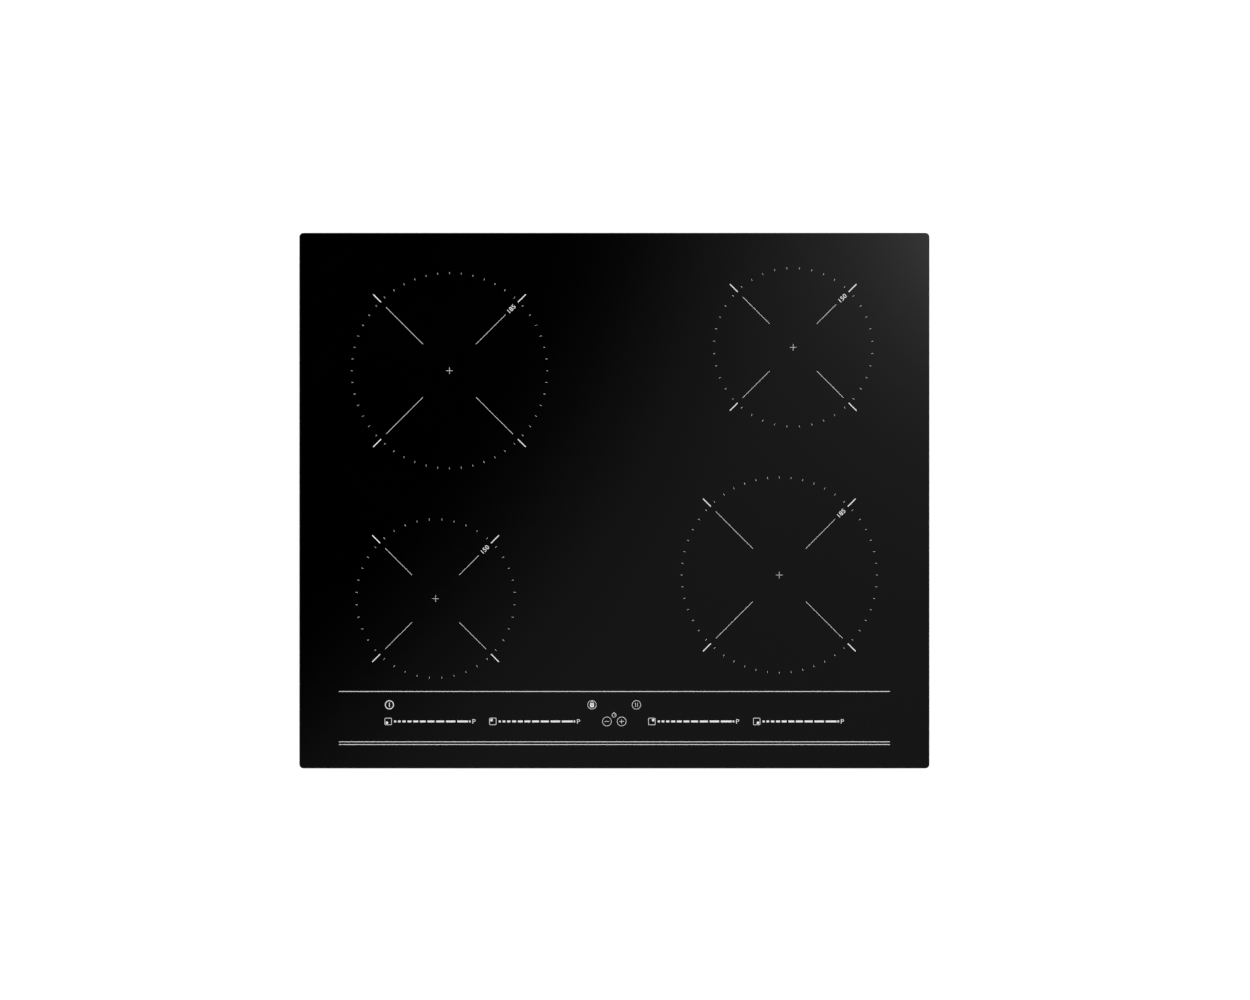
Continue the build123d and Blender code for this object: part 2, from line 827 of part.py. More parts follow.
def coil_plate(side):
    x = both_sides(plate_x)[side]
    plate = bar(x, plate_y, (plate_bottom, plate_top))
    for edge in ((x[0], x[0] + plate_sheet), (x[1] - plate_sheet, x[1])):
        plate += bar(edge, plate_y, (plate_bottom - plate_hem, plate_top))
    for zone in zones:
        if side in zone.name:
            middle_hole = Circle(coil_inner_radius + plate_hole_margin + wire_diameter / 2)
            plate -= upright(middle_hole, plate_bottom, plate_top, zone.x, zone.y)
            inner, outer = zone.lead_points()
            plate -= upright(Circle(wire_diameter / 2 + lead_hole_slack), plate_bottom, plate_top, *outer)
            hole = Circle(coil_screw.radius + screw_hole_slack)
            plate -= [upright(hole, plate_bottom, plate_top, *point) for point in zone.screw_points()]
    pin_hole = Circle(tower_pin_radius + tower_pin_slack)
    towers = [(tx, ty) for tx, ty, turn in tower_places() if x[0] < tx < x[1] and turn]
    return plate - [upright(pin_hole, plate_bottom, plate_top, *tower) for tower in towers]


def support_towers():
    tower = upright(RectangleRounded(tower_length, tower_width, tower_corner), floor_top, tower_top)
    pocket_length = (tower_length - 2 * tower_wall - tower_core) / 2
    pocket = Rectangle(pocket_length, tower_width - 2 * tower_wall)
    for side in (-1, 1):
        tower -= upright(pocket, floor_top, tower_top - tower_roof, side * (tower_core + pocket_length) / 2)
    tower += upright(Circle(tower_pin_radius), tower_top, plate_top + tower_pin_rise)
    tower += upright(Circle(tower_peg_radius), floor_under, floor_top)
    return group([Pos(x, y, 0) * Rot(0, 0, turn) * tower for x, y, turn in tower_places()])


def bow_springs():
    half = spring_length / 2
    crown = spring_height - spring_slack
    inner = half - spring_strip
    profile = Wire([
        ThreePointArc((-half, 0), (0, crown), (half, 0)),
        Line((half, 0), (inner, 0)),
        ThreePointArc((inner, 0), (0, crown - spring_strip), (-inner, 0)),
        Line((-inner, 0), (-half, 0)),
    ])
    strip = extrude(Plane.XZ * Face(profile), spring_width / 2, both=True)
    strip -= Cylinder(tower_pin_radius + tower_pin_slack, 4 * spring_height)
    return group([Pos(x, y, tower_top) * Rot(0, 0, turn) * strip for x, y, turn in tower_places()])


# Power electronics

def board_screw_points(side):
    x = both_sides(board_x)[side]
    rows = (board_y[0] + board_screw_inset, (board_y[0] + board_y[1]) / 2, board_y[1] - board_screw_inset)
    return [(px, y) for px in (x[0] + board_screw_inset, x[1] - board_screw_inset) for y in rows]


def power_board(side):
    x = both_sides(board_x)[side]
    outline = RectangleRounded(x[1] - x[0], board_y[1] - board_y[0], board_corner)
    board = upright(outline, board_bottom, board_top, (x[0] + x[1]) / 2, (board_y[0] + board_y[1]) / 2)
    hole = Circle(board_screw.radius + screw_hole_slack)
    return board - [upright(hole, board_bottom, board_top, *point) for point in board_screw_points(side)]


def board_spacers():
    outline = RegularPolygon(board_spacer_radius, 6) - Circle(board_screw.radius + screw_fit)
    points = board_screw_points("left") + board_screw_points("right")
    return group([upright(outline, floor_top, board_bottom, *point) for point in points])


def board_screws():
    points = board_screw_points("left") + board_screw_points("right")
    screws = [screw_at(Plane((x, y, board_top), z_dir=(0, 0, 1)), board_screw) for x, y in points]
    for zone in zones:
        for x, y in zone.screw_points():
            screws.append(screw_at(Plane((x, y, plate_bottom), z_dir=(0, 0, -1)), coil_screw))
    return group(screws)


def heatsink_span():
    near = board_x[0] + heatsink_inset
    return (near, near + heatsink_width), (board_y[0] + heatsink_front, board_y[1] - heatsink_rear)


def heatsink(side):
    span, y = heatsink_span()
    x = both_sides(span)[side]
    base = board_top + transistor_height
    sink = bar(x, y, (base, base + heatsink_base))
    for edge in ((y[0], y[0] + heatsink_leg), (y[1] - heatsink_leg, y[1])):
        sink += bar(x, edge, (board_top, base))
    fin_count = int((y[1] - y[0] - fin_thickness) / fin_pitch) + 1
    fins = [y[0] + k * fin_pitch for k in range(fin_count)]
    return sink + [bar(x, (at, at + fin_thickness), (base + heatsink_base, component_top)) for at in fins]


def power_transistors():
    span, y = heatsink_span()
    middle = (span[0] + span[1]) / 2
    room = (y[1] - y[0] - 2 * heatsink_leg) / transistor_count
    chips = []
    for side in (-1, 1):
        for k in range(transistor_count):
            at = y[0] + heatsink_leg + room * (k + 0.5)
            outline = Rectangle(transistor_length, transistor_width)
            chips.append(upright(outline, board_top, board_top + transistor_height, side * middle, at))
    return group(chips)


def film_capacitors():
    outline = RectangleRounded(capacitor_width, capacitor_depth, board_corner)
    x = board_x[1] - capacitor_side - capacitor_width / 2
    cans = []
    for side in (-1, 1):
        for k in range(capacitor_count):
            y = board_y[0] + capacitor_front + k * capacitor_pitch
            cans.append(upright(outline, board_top, component_top - capacitor_top_gap, side * x, y))
    return group(cans)


def filter_chokes():
    top = board_top + choke_height
    core = upright(Circle(choke_core_radius), board_top, top)
    core += upright(Circle(choke_radius), board_top, board_top + choke_flange)
    core += upright(Circle(choke_radius), top - choke_flange, top)
    x = board_x[1] - choke_side
    places = [Pos(side * x, board_y[0] + front, 0) for side in (-1, 1) for front in choke_fronts]
    return group([place * core for place in places])


def mains_socket_y():
    return board_y[1] - connector_inset


def fan_sockets():
    """Where each fan's lead is plugged in on the left board."""
    x = -(board_x[0] + connector_inset)
    reach = fan_size / 2 - fan_lead_inset
    return (x, fan_front_y - reach), (x, fan_rear_y + reach)


def mains_sockets():
    start = terminal_left + terminal_wall + 2 * block_side_gap + connector_size
    return (start, mains_socket_y()), (-start, mains_socket_y())


def touch_socket():
    return -(board_x[0] + connector_inset), board_y[0] + touch_socket_front


def board_connectors():
    points = [(zone.x, zone.y) for zone in zones]
    points += [point for zone in zones for point in zone.lead_points()]
    points += [*fan_sockets(), *mains_sockets(), touch_socket()]
    outline = Rectangle(connector_size, connector_size)
    return group([upright(outline, board_top, connector_top, *point) for point in points])


# Fans

def fan_housing(centre):
    square = RectangleRounded(fan_size, fan_size, fan_corner)
    bottom_flange = upright(square, fan_bottom, fan_bottom + fan_flange)
    top_flange = upright(square, fan_top - fan_flange, fan_top)
    housing = bottom_flange + top_flange + upright(Circle(fan_size / 2), fan_bottom, fan_top)
    housing -= upright(Circle(fan_bore / 2), fan_bottom, fan_top)
    hole = Circle(fan_screw.radius + screw_fit)
    housing -= [upright(hole, fan_bottom, fan_top, x, y) for x, y in fan_hole_points(0)]
    hub_bottom = fan_top - fan_spoke
    spokes = Sketch() + [Rot(0, 0, 45 + 360 / fan_spoke_count * k) * Pos(fan_bore / 4, 0, 0)
                         * Rectangle(fan_bore / 2 + fan_spoke, fan_spoke) for k in range(fan_spoke_count)]
    inside = Circle(fan_bore / 2 + (fan_size - fan_bore) / 4)
    housing += upright((spokes + Circle(fan_hub_radius)) & inside, hub_bottom, fan_top)
    sleeve = Circle(fan_bush_radius + fan_bush_wall)
    housing += upright(sleeve, hub_bottom - fan_bush_length, hub_bottom)
    housing -= upright(Circle(fan_bush_radius), hub_bottom - fan_bush_length, hub_bottom)
    return Pos(0, centre, 0) * housing


def fan_bushes():
    top = fan_top - fan_spoke
    outline = Circle(fan_bush_radius) - Circle(fan_shaft_radius + fan_running_gap)
    return group([upright(outline, top - fan_bush_length, top, 0, centre) for centre in fan_centres])


def fan_shaft(centre):
    top = fan_top - fan_spoke - fan_hub_gap
    return upright(Circle(fan_shaft_radius), fan_bottom + fan_floor_gap, top, 0, centre)


def fan_rotor(centre):
    bottom = fan_bottom + fan_floor_gap
    top = fan_top - fan_spoke - fan_hub_gap
    inside_radius = fan_hub_radius - fan_hub_wall
    cup = upright(Circle(fan_hub_radius), bottom, top)
    cup -= upright(Circle(inside_radius), bottom + fan_hub_wall, top)
    cup += upright(Circle(fan_bush_radius), bottom, bottom + 2 * fan_hub_wall)
    cup -= upright(Circle(fan_shaft_radius), bottom, top)
    level = (bottom + top) / 2
    reach = fan_bore / 2
    root = Plane((inside_radius / 2, 0, level), x_dir=(0, 1, 0), z_dir=(1, 0, 0))
    root = root.rotated((0, 0, fan_blade_root_angle))
    tip = Plane((reach, 0, level), x_dir=(0, 1, 0), z_dir=(1, 0, 0))
    tip = tip.rotated((0, 0, fan_blade_tip_angle))
    root_outline = root * Rectangle(fan_blade_root, fan_blade_thickness)
    tip_outline = tip * Rectangle(fan_blade_tip, fan_blade_thickness)
    blade = loft([root_outline, tip_outline], ruled=True)
    sweep_room = Circle(reach - fan_tip_gap) - Circle(inside_radius)
    blade &= upright(sweep_room, bottom, top)
    blades = [Rot(0, 0, 360 / fan_blade_count * k) * blade for k in range(fan_blade_count)]
    return Pos(0, centre, 0) * (cup + blades)


def fan_screws():
    level = fan_bottom - tray_sheet
    points = [point for centre in fan_centres for point in fan_hole_points(centre)]
    return group([screw_at(Plane((x, y, level), z_dir=(0, 0, -1)), fan_screw) for x, y in points])


# Touch control

def touch_board():
    outline = RectangleRounded(touch_board_length, touch_board_depth, board_corner)
    return upright(outline, touch_board_bottom, touch_board_top, 0, touch_row)


def touch_cable_start():
    return -(board_middle / 2), touch_row + holder_rib_spread / 2


def touch_board_holder():
    width = touch_board_length + 2 * (holder_slack + holder_wall)
    top = touch_board_top + holder_lip
    outline = RectangleRounded(width, holder_depth, board_corner + holder_wall)
    holder = upright(outline, plate_bottom, top, 0, touch_row)
    inside = RectangleRounded(width - 2 * holder_wall, holder_depth - 2 * holder_wall, board_corner)
    holder -= upright(inside, plate_bottom + holder_floor, top, 0, touch_row)
    rib = Rectangle(touch_board_length, holder_rib)
    for side in (-1, 1):
        y = touch_row + side * holder_rib_spread
        holder += upright(rib, plate_bottom + holder_floor, touch_board_bottom, 0, y)
    pin_hole = Circle(tower_pin_radius + tower_pin_slack)
    for x, y, turn in tower_places():
        if not turn:
            holder -= upright(pin_hole, plate_bottom, touch_board_bottom, x, y)
    wire_hole = Circle(small_wire_radius + lead_hole_slack)
    return holder - upright(wire_hole, plate_bottom, touch_board_bottom, *touch_cable_start())


def touch_pads():
    keys = [(power_key_x, key_row), (lock_key_x, key_row), (pause_key_x, key_row)]
    keys += [(minus_key_x, slider_row), (plus_key_x, slider_row)]
    pads = [upright(Circle(touch_pad_radius), touch_board_top, glass_bottom, *key) for key in keys]
    strip = RectangleRounded(slider_pad_length, slider_pad_depth, board_corner)
    for left in slider_lefts:
        middle = left + (slider_bar_start + slider_length) / 2
        pads.append(upright(strip, touch_board_top, glass_bottom, middle, slider_row))
    return group(pads)


def display_digits():
    digit = Rectangle(digit_width, digit_depth)
    top = glass_bottom - digit_gap
    middles = [left + slider_length / 2 for left in slider_lefts]
    digits = [upright(digit, touch_board_top, top, middle, digit_row) for middle in middles]
    digits.append(upright(Rectangle(timer_width, digit_depth), touch_board_top, top, 0, digit_row))
    return group(digits)


# Mains terminal box

def terminal_room():
    x = (terminal_left + terminal_wall, terminal_right - terminal_wall)
    y = (terminal_front + terminal_wall, inner_end)
    return x, y, (floor_top + terminal_wall, terminal_top - terminal_wall)


def hinge_spans():
    """The x spans of the left lug, the cover and the right lug."""
    left = terminal_left + terminal_wall
    right = gland_x[0]
    cover = (left + lug_width + cover_side_gap, right - cover_side_gap)
    return (left, left + lug_width), cover, (right, right + lug_width)


def cord_clamp_points():
    y = inner_end - gland_thickness - clamp_saddle_inset
    return [(cord_x + side * clamp_screw_spread, y) for side in (-1, 1)]


def harness_ends():
    """The x places at which the two mains leads leave the terminal block."""
    first = mains_sockets()[0][0]
    return first, first + 2 * connector_size


def terminal_box():
    room = terminal_room()
    outside = ((terminal_left, terminal_right), (terminal_front, inner_end), (floor_top, terminal_top))
    shell = bar(*outside)
    low_rear_edge = shell.edges().filter_by(Axis.X).group_by(Axis.Z)[0].sort_by(Axis.Y)[-1]
    box = chamfer(low_rear_edge, tray_bend_radius) - bar(*room)
    box += bar(gland_x, (inner_end - gland_thickness, inner_end), room[2])
    gland_face = (cord_x, inner_end - gland_thickness, cord_level)
    box -= rod(grommet_radius, gland_face, (cord_x, inner_end, cord_level))
    left_lug, cover_span, right_lug = hinge_spans()
    for span in (left_lug, right_lug):
        lug_y = (inner_end - lug_reach, hinge_y)
        lug = bar(span, lug_y, (hinge_level - knuckle_radius, hinge_level + knuckle_radius))
        ends = ((span[0], hinge_y, hinge_level), (span[1], hinge_y, hinge_level))
        lug += rod(knuckle_radius, *ends)
        box += lug - rod(pin_radius + pin_gap, *ends)
    saddle_bottom = cord_level + clamp_saddle_rise
    for point in cord_clamp_points():
        box += upright(Circle(clamp_boss_radius), room[2][0], saddle_bottom, *point)
        bore = Circle(cord_screw.radius + screw_fit)
        box -= upright(bore, saddle_bottom + clamp_saddle_height - cord_screw.length, saddle_bottom, *point)
    for x in harness_ends():
        hole = (x, terminal_front, board_top + connector_height / 2)
        box -= rod(harness_radius + lead_hole_slack, hole, (x, terminal_front + terminal_wall, hole[2]))
    return box


def terminal_block():
    x = (hinge_spans()[0][0] + block_side_gap, gland_x[0] - block_side_gap)
    base = floor_top + terminal_wall
    block = bar(x, block_y, (base, base + block_height))
    pole = (x[1] - x[0] - block_fin) / block_poles
    for k in range(block_poles + 1):
        fin = (x[0] + k * pole, x[0] + k * pole + block_fin)
        block += bar(fin, (block_y[1], block_y[1] + block_fin_reach), (base, base + block_height))
    reach = Vector(0, pole_screw.length, 0)
    bore = pole_screw.radius + screw_fit
    return block - [rod(bore, seat.origin, seat.origin - reach) for seat in pole_seats()]


def pole_seats():
    x = (hinge_spans()[0][0] + block_side_gap, gland_x[0] - block_side_gap)
    pole = (x[1] - x[0] - block_fin) / block_poles
    level = floor_top + terminal_wall + block_height / 2
    middles = [x[0] + block_fin / 2 + pole * (k + 0.5) for k in range(block_poles)]
    return [Plane((middle, block_y[1], level), z_dir=(0, 1, 0)) for middle in middles]


def terminal_screws():
    screws = [screw_at(seat, pole_screw) for seat in pole_seats()]
    level = cord_level + clamp_saddle_rise + clamp_saddle_height
    for x, y in cord_clamp_points():
        screws.append(screw_at(Plane((x, y, level), z_dir=(0, 0, 1)), cord_screw))
    return group(screws)


def terminal_cover():
    span = hinge_spans()[1]
    inside_face = tray_end + cover_gap
    top = terminal_top - terminal_wall - window_top_cover + cover_lap
    cover = bar(span, (inside_face, inside_face + cover_sheet), (hinge_level, top))
    ends = ((span[0], hinge_y, hinge_level), (span[1], hinge_y, hinge_level))
    cover += rod(knuckle_radius, *ends)
    cover -= rod(pin_radius + pin_gap, *ends)
    middle = (span[0] + span[1]) / 2
    tab_top = top - cover_lap - tab_drop + tab_height
    tab_x = (middle - tab_width / 2, middle + tab_width / 2)
    return cover + bar(tab_x, (inside_face - tab_reach, inside_face), (tab_top - tab_height, tab_top))


def cover_hinge_pin():
    left_lug, cover_span, right_lug = hinge_spans()
    return rod(pin_radius, (left_lug[0], hinge_y, hinge_level), (right_lug[1], hinge_y, hinge_level))


def cable_grommet():
    inner_face = inner_end - gland_thickness
    body = rod(grommet_radius, (cord_x, inner_face, cord_level), (cord_x, inner_end, cord_level))
    first = inner_face - grommet_flange_thickness
    last = inner_end + grommet_flange_thickness
    for start, end in ((first, inner_face), (inner_end, last)):
        body += rod(grommet_flange, (cord_x, start, cord_level), (cord_x, end, cord_level))
    return body - rod(grommet_bore, (cord_x, first, cord_level), (cord_x, last, cord_level))


def cord_clamp():
    y = cord_clamp_points()[0][1]
    bottom = cord_level + clamp_saddle_rise
    top = bottom + clamp_saddle_height
    half = clamp_saddle_width / 2
    reach = clamp_saddle_length / 2
    saddle = bar((cord_x - reach, cord_x + reach), (y - half, y + half), (bottom, top))
    saddle -= rod(cord_radius, (cord_x, y - half, cord_level), (cord_x, y + half, cord_level))
    hole = Circle(cord_screw.radius + screw_hole_slack)
    return saddle - [upright(hole, bottom, top, *point) for point in cord_clamp_points()]


# Wiring

def mains_leads():
    level = board_top + connector_height / 2
    right, left = mains_sockets()
    first, second = harness_ends()
    edge = connector_size / 2
    short = rod(harness_radius, (first, block_y[0], level), (first, right[1] + edge, level))
    lane = terminal_front - harness_lane
    low = floor_top + harness_radius + tower_fit
    route = FilletPolyline(
        (second, block_y[0], level), (second, lane, level), (second, lane, low), (left[0], lane, low),
        (left[0], lane, level), (left[0], left[1] + edge, level), radius=harness_bend)
    return [short, tube(harness_radius, route)]


def sensor_leads():
    ends = [((zone.x, zone.y, connector_top), (zone.x, zone.y, former_top)) for zone in zones]
    return [rod(sensor_lead_radius, *pair) for pair in ends]


def fan_leads():
    level = fan_top - fan_flange / 2
    low = board_top + connector_height / 2
    leads = []
    for x, y in fan_sockets():
        middle = -(board_middle + fan_size / 2) / 2
        route = FilletPolyline((-fan_size / 2, y, level), (middle, y, level), (middle, y, low),
                               (x + connector_size / 2, y, low), radius=small_wire_bend)
        leads.append(tube(small_wire_radius, route))
    return leads


def touch_lead():
    x, y = touch_cable_start()
    end_x, end_y = touch_socket()
    level = tower_top - touch_lead_drop
    low = board_top + connector_height / 2
    route = FilletPolyline((x, y, touch_board_bottom), (x, y, level), (x, end_y, level), (x, end_y, low),
                           (end_x + connector_size / 2, end_y, low), radius=small_wire_bend)
    return tube(small_wire_radius, route)


def wire_harness():
    return group([*mains_leads(), *sensor_leads(), *fan_leads(), touch_lead()])


# Swing clamps

def clamp_corners():
    return {"front_left": (-1, -1), "front_right": (1, -1), "rear_left": (-1, 1), "rear_right": (1, 1)}


def clamp_axis(corner):
    return corner[0] * (tray_side + clamp_axis_reach), corner[1] * clamp_y


def bracket_levels():
    return floor_under + bracket_lift, -bracket_drop


def clamp_brackets():
    bottom, top = bracket_levels()
    width = (-bracket_width / 2, bracket_width / 2)
    bracket = bar((0, bracket_sheet), width, (bottom, top))
    for ear in ((bottom, bottom + bracket_sheet), (top - bracket_sheet, top)):
        bracket += bar((0, bracket_reach), width, ear)
    hole = Circle(clamp_screw_radius + clamp_hole_slack)
    bracket -= upright(hole, bottom, top, clamp_axis_reach)
    brackets = []
    for side, end in clamp_corners().values():
        turn = Rot(0, 0, 0 if side > 0 else 180)
        brackets.append(Pos(side * tray_side, end * clamp_y, 0) * turn * bracket)
    return group(brackets)


def clamp_screws():
    level = bracket_levels()[0]
    axes = [clamp_axis(corner) for corner in clamp_corners().values()]
    return group([screw_at(Plane((x, y, level), z_dir=(0, 0, -1)), clamp_screw) for x, y in axes])


def clamp_arm(corner):
    """An arm at rest along the wall, pointing to the hob's middle, with an upturned tooth at its tip."""
    bottom = bracket_levels()[0] + clamp_hub_lift
    top = bottom + clamp_hub_height
    half = clamp_arm_width / 2
    arm = upright(Circle(clamp_hub_radius), bottom, top)
    arm += bar((-half, half), (0, clamp_arm_length), (top - clamp_arm_thickness, top))
    tooth = (clamp_arm_length - clamp_arm_thickness, clamp_arm_length)
    arm += bar((-half, half), tooth, (top - clamp_arm_thickness, top + clamp_tooth))
    arm -= upright(Circle(clamp_screw_radius + clamp_running_gap), bottom, top)
    turn = Rot(0, 0, 180 if corner[1] > 0 else 0)
    return Pos(*clamp_axis(corner), 0) * turn * arm


def all_parts():
    parts = {
        "glass_top": glass_top(),
        "glass_print": glass_print(),
        "worktop_gasket": worktop_gasket(),
        "bond_bead": bond_bead(),
        "carrier_frame": carrier_frame(),
        "bottom_tray": bottom_tray(),
        "frame_screws": frame_screws(),
        "ferrite_bars": ferrite_bars(),
        "insulation_discs": insulation_discs(),
        "temperature_sensors": temperature_sensors(),
        "support_towers": support_towers(),
        "bow_springs": bow_springs(),
        "board_spacers": board_spacers(),
        "board_screws": board_screws(),
        "power_transistors": power_transistors(),
        "film_capacitors": film_capacitors(),
        "filter_chokes": filter_chokes(),
        "board_connectors": board_connectors(),
        "fan_bushes": fan_bushes(),
        "fan_screws": fan_screws(),
        "touch_board": touch_board(),
        "touch_board_holder": touch_board_holder(),
        "touch_pads": touch_pads(),
        "display_digits": display_digits(),
        "terminal_box": terminal_box(),
        "terminal_block": terminal_block(),
        "terminal_screws": terminal_screws(),
        "terminal_cover": terminal_cover(),
        "cover_hinge_pin": cover_hinge_pin(),
        "cable_grommet": cable_grommet(),
        "cord_clamp": cord_clamp(),
        "wire_harness": wire_harness(),
        "clamp_brackets": clamp_brackets(),
        "clamp_screws": clamp_screws(),
    }
    for zone in zones:
        parts[f"coil_former_{zone.name}"] = coil_former(zone)
        parts[f"coil_winding_{zone.name}"] = coil_winding(zone)
    for side in ("left", "right"):
        parts[f"coil_plate_{side}"] = coil_plate(side)
        parts[f"power_board_{side}"] = power_board(side)
        parts[f"heatsink_{side}"] = heatsink(side)
    for name, centre in (("front", fan_front_y), ("rear", fan_rear_y)):
        parts[f"fan_housing_{name}"] = fan_housing(centre)
        parts[f"fan_rotor_{name}"] = fan_rotor(centre)
        parts[f"fan_shaft_{name}"] = fan_shaft(centre)
    for name, corner in clamp_corners().items():
        parts[f"clamp_arm_{name}"] = clamp_arm(corner)
    return parts


os.makedirs("parts", exist_ok=True)
for name, shape in all_parts().items():
    export_step(shape, f"parts/{name}.step")
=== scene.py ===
import bmesh
import bpy
import json
import math
from mathutils import Matrix, Vector


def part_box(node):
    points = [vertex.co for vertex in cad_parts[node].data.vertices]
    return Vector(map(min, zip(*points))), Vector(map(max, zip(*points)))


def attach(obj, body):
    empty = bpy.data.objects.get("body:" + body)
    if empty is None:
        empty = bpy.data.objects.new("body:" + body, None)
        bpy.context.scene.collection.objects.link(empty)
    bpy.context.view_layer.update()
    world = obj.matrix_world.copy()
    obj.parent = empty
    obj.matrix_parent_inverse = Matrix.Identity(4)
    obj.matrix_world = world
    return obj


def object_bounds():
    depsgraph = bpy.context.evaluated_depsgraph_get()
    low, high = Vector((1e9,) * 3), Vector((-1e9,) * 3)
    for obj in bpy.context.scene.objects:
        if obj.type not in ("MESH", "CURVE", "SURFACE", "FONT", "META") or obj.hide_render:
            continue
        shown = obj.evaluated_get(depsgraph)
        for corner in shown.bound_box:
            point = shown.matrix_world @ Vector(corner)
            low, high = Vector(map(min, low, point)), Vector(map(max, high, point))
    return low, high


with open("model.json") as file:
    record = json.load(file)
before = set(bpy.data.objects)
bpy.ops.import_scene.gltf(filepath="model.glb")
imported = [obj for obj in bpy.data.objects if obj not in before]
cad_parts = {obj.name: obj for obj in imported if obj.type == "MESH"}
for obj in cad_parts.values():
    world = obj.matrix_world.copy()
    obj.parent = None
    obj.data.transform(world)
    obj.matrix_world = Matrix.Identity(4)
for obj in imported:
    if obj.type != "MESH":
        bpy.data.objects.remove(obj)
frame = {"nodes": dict(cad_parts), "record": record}        # bodies, nodes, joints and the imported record
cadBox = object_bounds()
nodes = frame["nodes"]
mm = 0.001
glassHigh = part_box("glass_top")[1]
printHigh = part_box("glass_print")[1]
print("frame loaded:", len(nodes), "nodes")


class Wire:  # one socket of a node tree, with the sums that the finishes need
    def __init__(self, tree, socket=None):
        self.tree = tree
        self.socket = socket

    def node(self, kind, settings=None, sockets=None, out=0):
        made = self.tree.nodes.new(kind)
        for name, value in (settings or {}).items():
            setattr(made, name, value)
        for name, value in (sockets or {}).items():
            if isinstance(value, Wire):
                self.tree.links.new(value.socket, made.inputs[name])
            else:
                made.inputs[name].default_value = value
        return Wire(self.tree, made.outputs[out])

    def calc(self, operation, first, second):
        return self.node("ShaderNodeMath", {"operation": operation}, {0: first, 1: second})

    def bend(self, operation):  # a curve of this value alone, such as its sine
        return self.calc(operation, self, 0.0)

    def vector(self, operation, *others):
        out = "Value" if operation in ("DOT_PRODUCT", "DISTANCE") else "Vector"
        values = dict(enumerate((self, *others)))
        return self.node("ShaderNodeVectorMath", {"operation": operation}, values, out)

    def __add__(self, other):
        return self.calc("ADD", self, other)

    def __radd__(self, other):
        return self.calc("ADD", other, self)

    def __sub__(self, other):
        return self.calc("SUBTRACT", self, other)

    def __rsub__(self, other):
        return self.calc("SUBTRACT", other, self)

    def __mul__(self, other):
        return self.calc("MULTIPLY", self, other)

    def __rmul__(self, other):
        return self.calc("MULTIPLY", other, self)

    def __truediv__(self, other):
        return self.calc("DIVIDE", self, other)

    def __rtruediv__(self, other):
        return self.calc("DIVIDE", other, self)

    def __pow__(self, other):
        return self.calc("POWER", self, other)

    def __rpow__(self, other):
        return self.calc("POWER", other, self)

    def __gt__(self, other):
        return self.calc("GREATER_THAN", self, other)

    def __lt__(self, other):
        return self.calc("LESS_THAN", self, other)

    def __abs__(self):
        return self.bend("ABSOLUTE")

    def join(self, other, share):  # this pattern, with a share of another
        return self * (1 - share) + other * share

    def noise(self, scale, detail=2.0, rough=0.5, out=0):
        return self.node("ShaderNodeTexNoise", None,
                         {"Vector": self, "Scale": scale, "Detail": detail, "Roughness": rough}, out)

    def cells(self, scale, out="Distance", settings=None):
        return self.node("ShaderNodeTexVoronoi", settings, {"Vector": self, "Scale": scale}, out)

    def stretch(self, scale):  # the pattern drawn out along an axis
        return self.node("ShaderNodeMapping", None, {"Vector": self, "Scale": scale})

    def range(self, low, high, toLow=0.0, toHigh=1.0, kind="LINEAR"):
        return self.node("ShaderNodeMapRange", {"interpolation_type": kind},
                         {"Value": self, 1: low, 2: high, 3: toLow, 4: toHigh})

    def tint(self, dark, light):  # this value as the share of the second colour
        return self.node("ShaderNodeMix", {"data_type": "RGBA"}, {0: self, 6: dark, 7: light}, 2)

    def parts(self):
        split = self.node("ShaderNodeSeparateXYZ", None, {0: self}).socket.node
        return [Wire(self.tree, socket) for socket in split.outputs]

    def bump(self, strength, distance):
        return self.node("ShaderNodeBump", None,
                         {"Strength": strength, "Distance": distance, "Height": self})


def newFinish(name, fixed):
    material = bpy.data.materials.new(name)
    material.use_nodes = True
    shader = material.node_tree.nodes["Principled BSDF"]
    for socket, value in fixed.items():
        shader.inputs[socket].default_value = value
    place = Wire(material.node_tree).node("ShaderNodeTexCoord", out="Object")
    return material, place


def feed(material, wires):
    shader = material.node_tree.nodes["Principled BSDF"]
    for socket, wire in wires.items():
        material.node_tree.links.new(wire.socket, shader.inputs[socket])
    return material


midBand = (0.3, 0.7)  # where most of a noise's values lie

# Glass plate: polished face, finely ground edge
glassLook = {"colour": (0.0001, 0.0001, 0.00012, 1), "polish": 0.012, "edge": 0.7 * mm, "edgeRough": 0.24,
             "smear": 0.03, "smearScale": 11.0, "smearBand": (0.42, 0.75),
             "grit": 5200.0, "gritBump": (0.15, 0.02 * mm)}


def blackGlass():
    material, place = newFinish("black_glass", {"Base Color": glassLook["colour"], "IOR": 1.5})
    x, y = place.parts()[:2]
    ground = (abs(x) > glassHigh.x - glassLook["edge"]) + (abs(y) > glassHigh.y - glassLook["edge"])
    ground = ground.range(0.0, 1.0)  # a corner counts once
    smear = place.noise(glassLook["smearScale"], detail=4.0, rough=0.6).range(*glassLook["smearBand"])
    rough = glassLook["polish"] + smear * glassLook["smear"] + ground * glassLook["edgeRough"]
    grit = place.noise(glassLook["grit"], detail=1.0) * ground
    return feed(material, {"Roughness": rough, "Normal": grit.bump(*glassLook["gritBump"])})


# Fired white ink: a little uneven, like a screen print
inkLook = {"thin": (0.70, 0.70, 0.70, 1), "full": (0.83, 0.83, 0.82, 1), "rough": 0.62, "roughDrop": 0.16,
           "mesh": 2600.0, "meshBand": (0.25, 0.6), "meshBump": (0.1, 0.01 * mm),
           "cloud": 60.0, "cloudShare": 0.3}


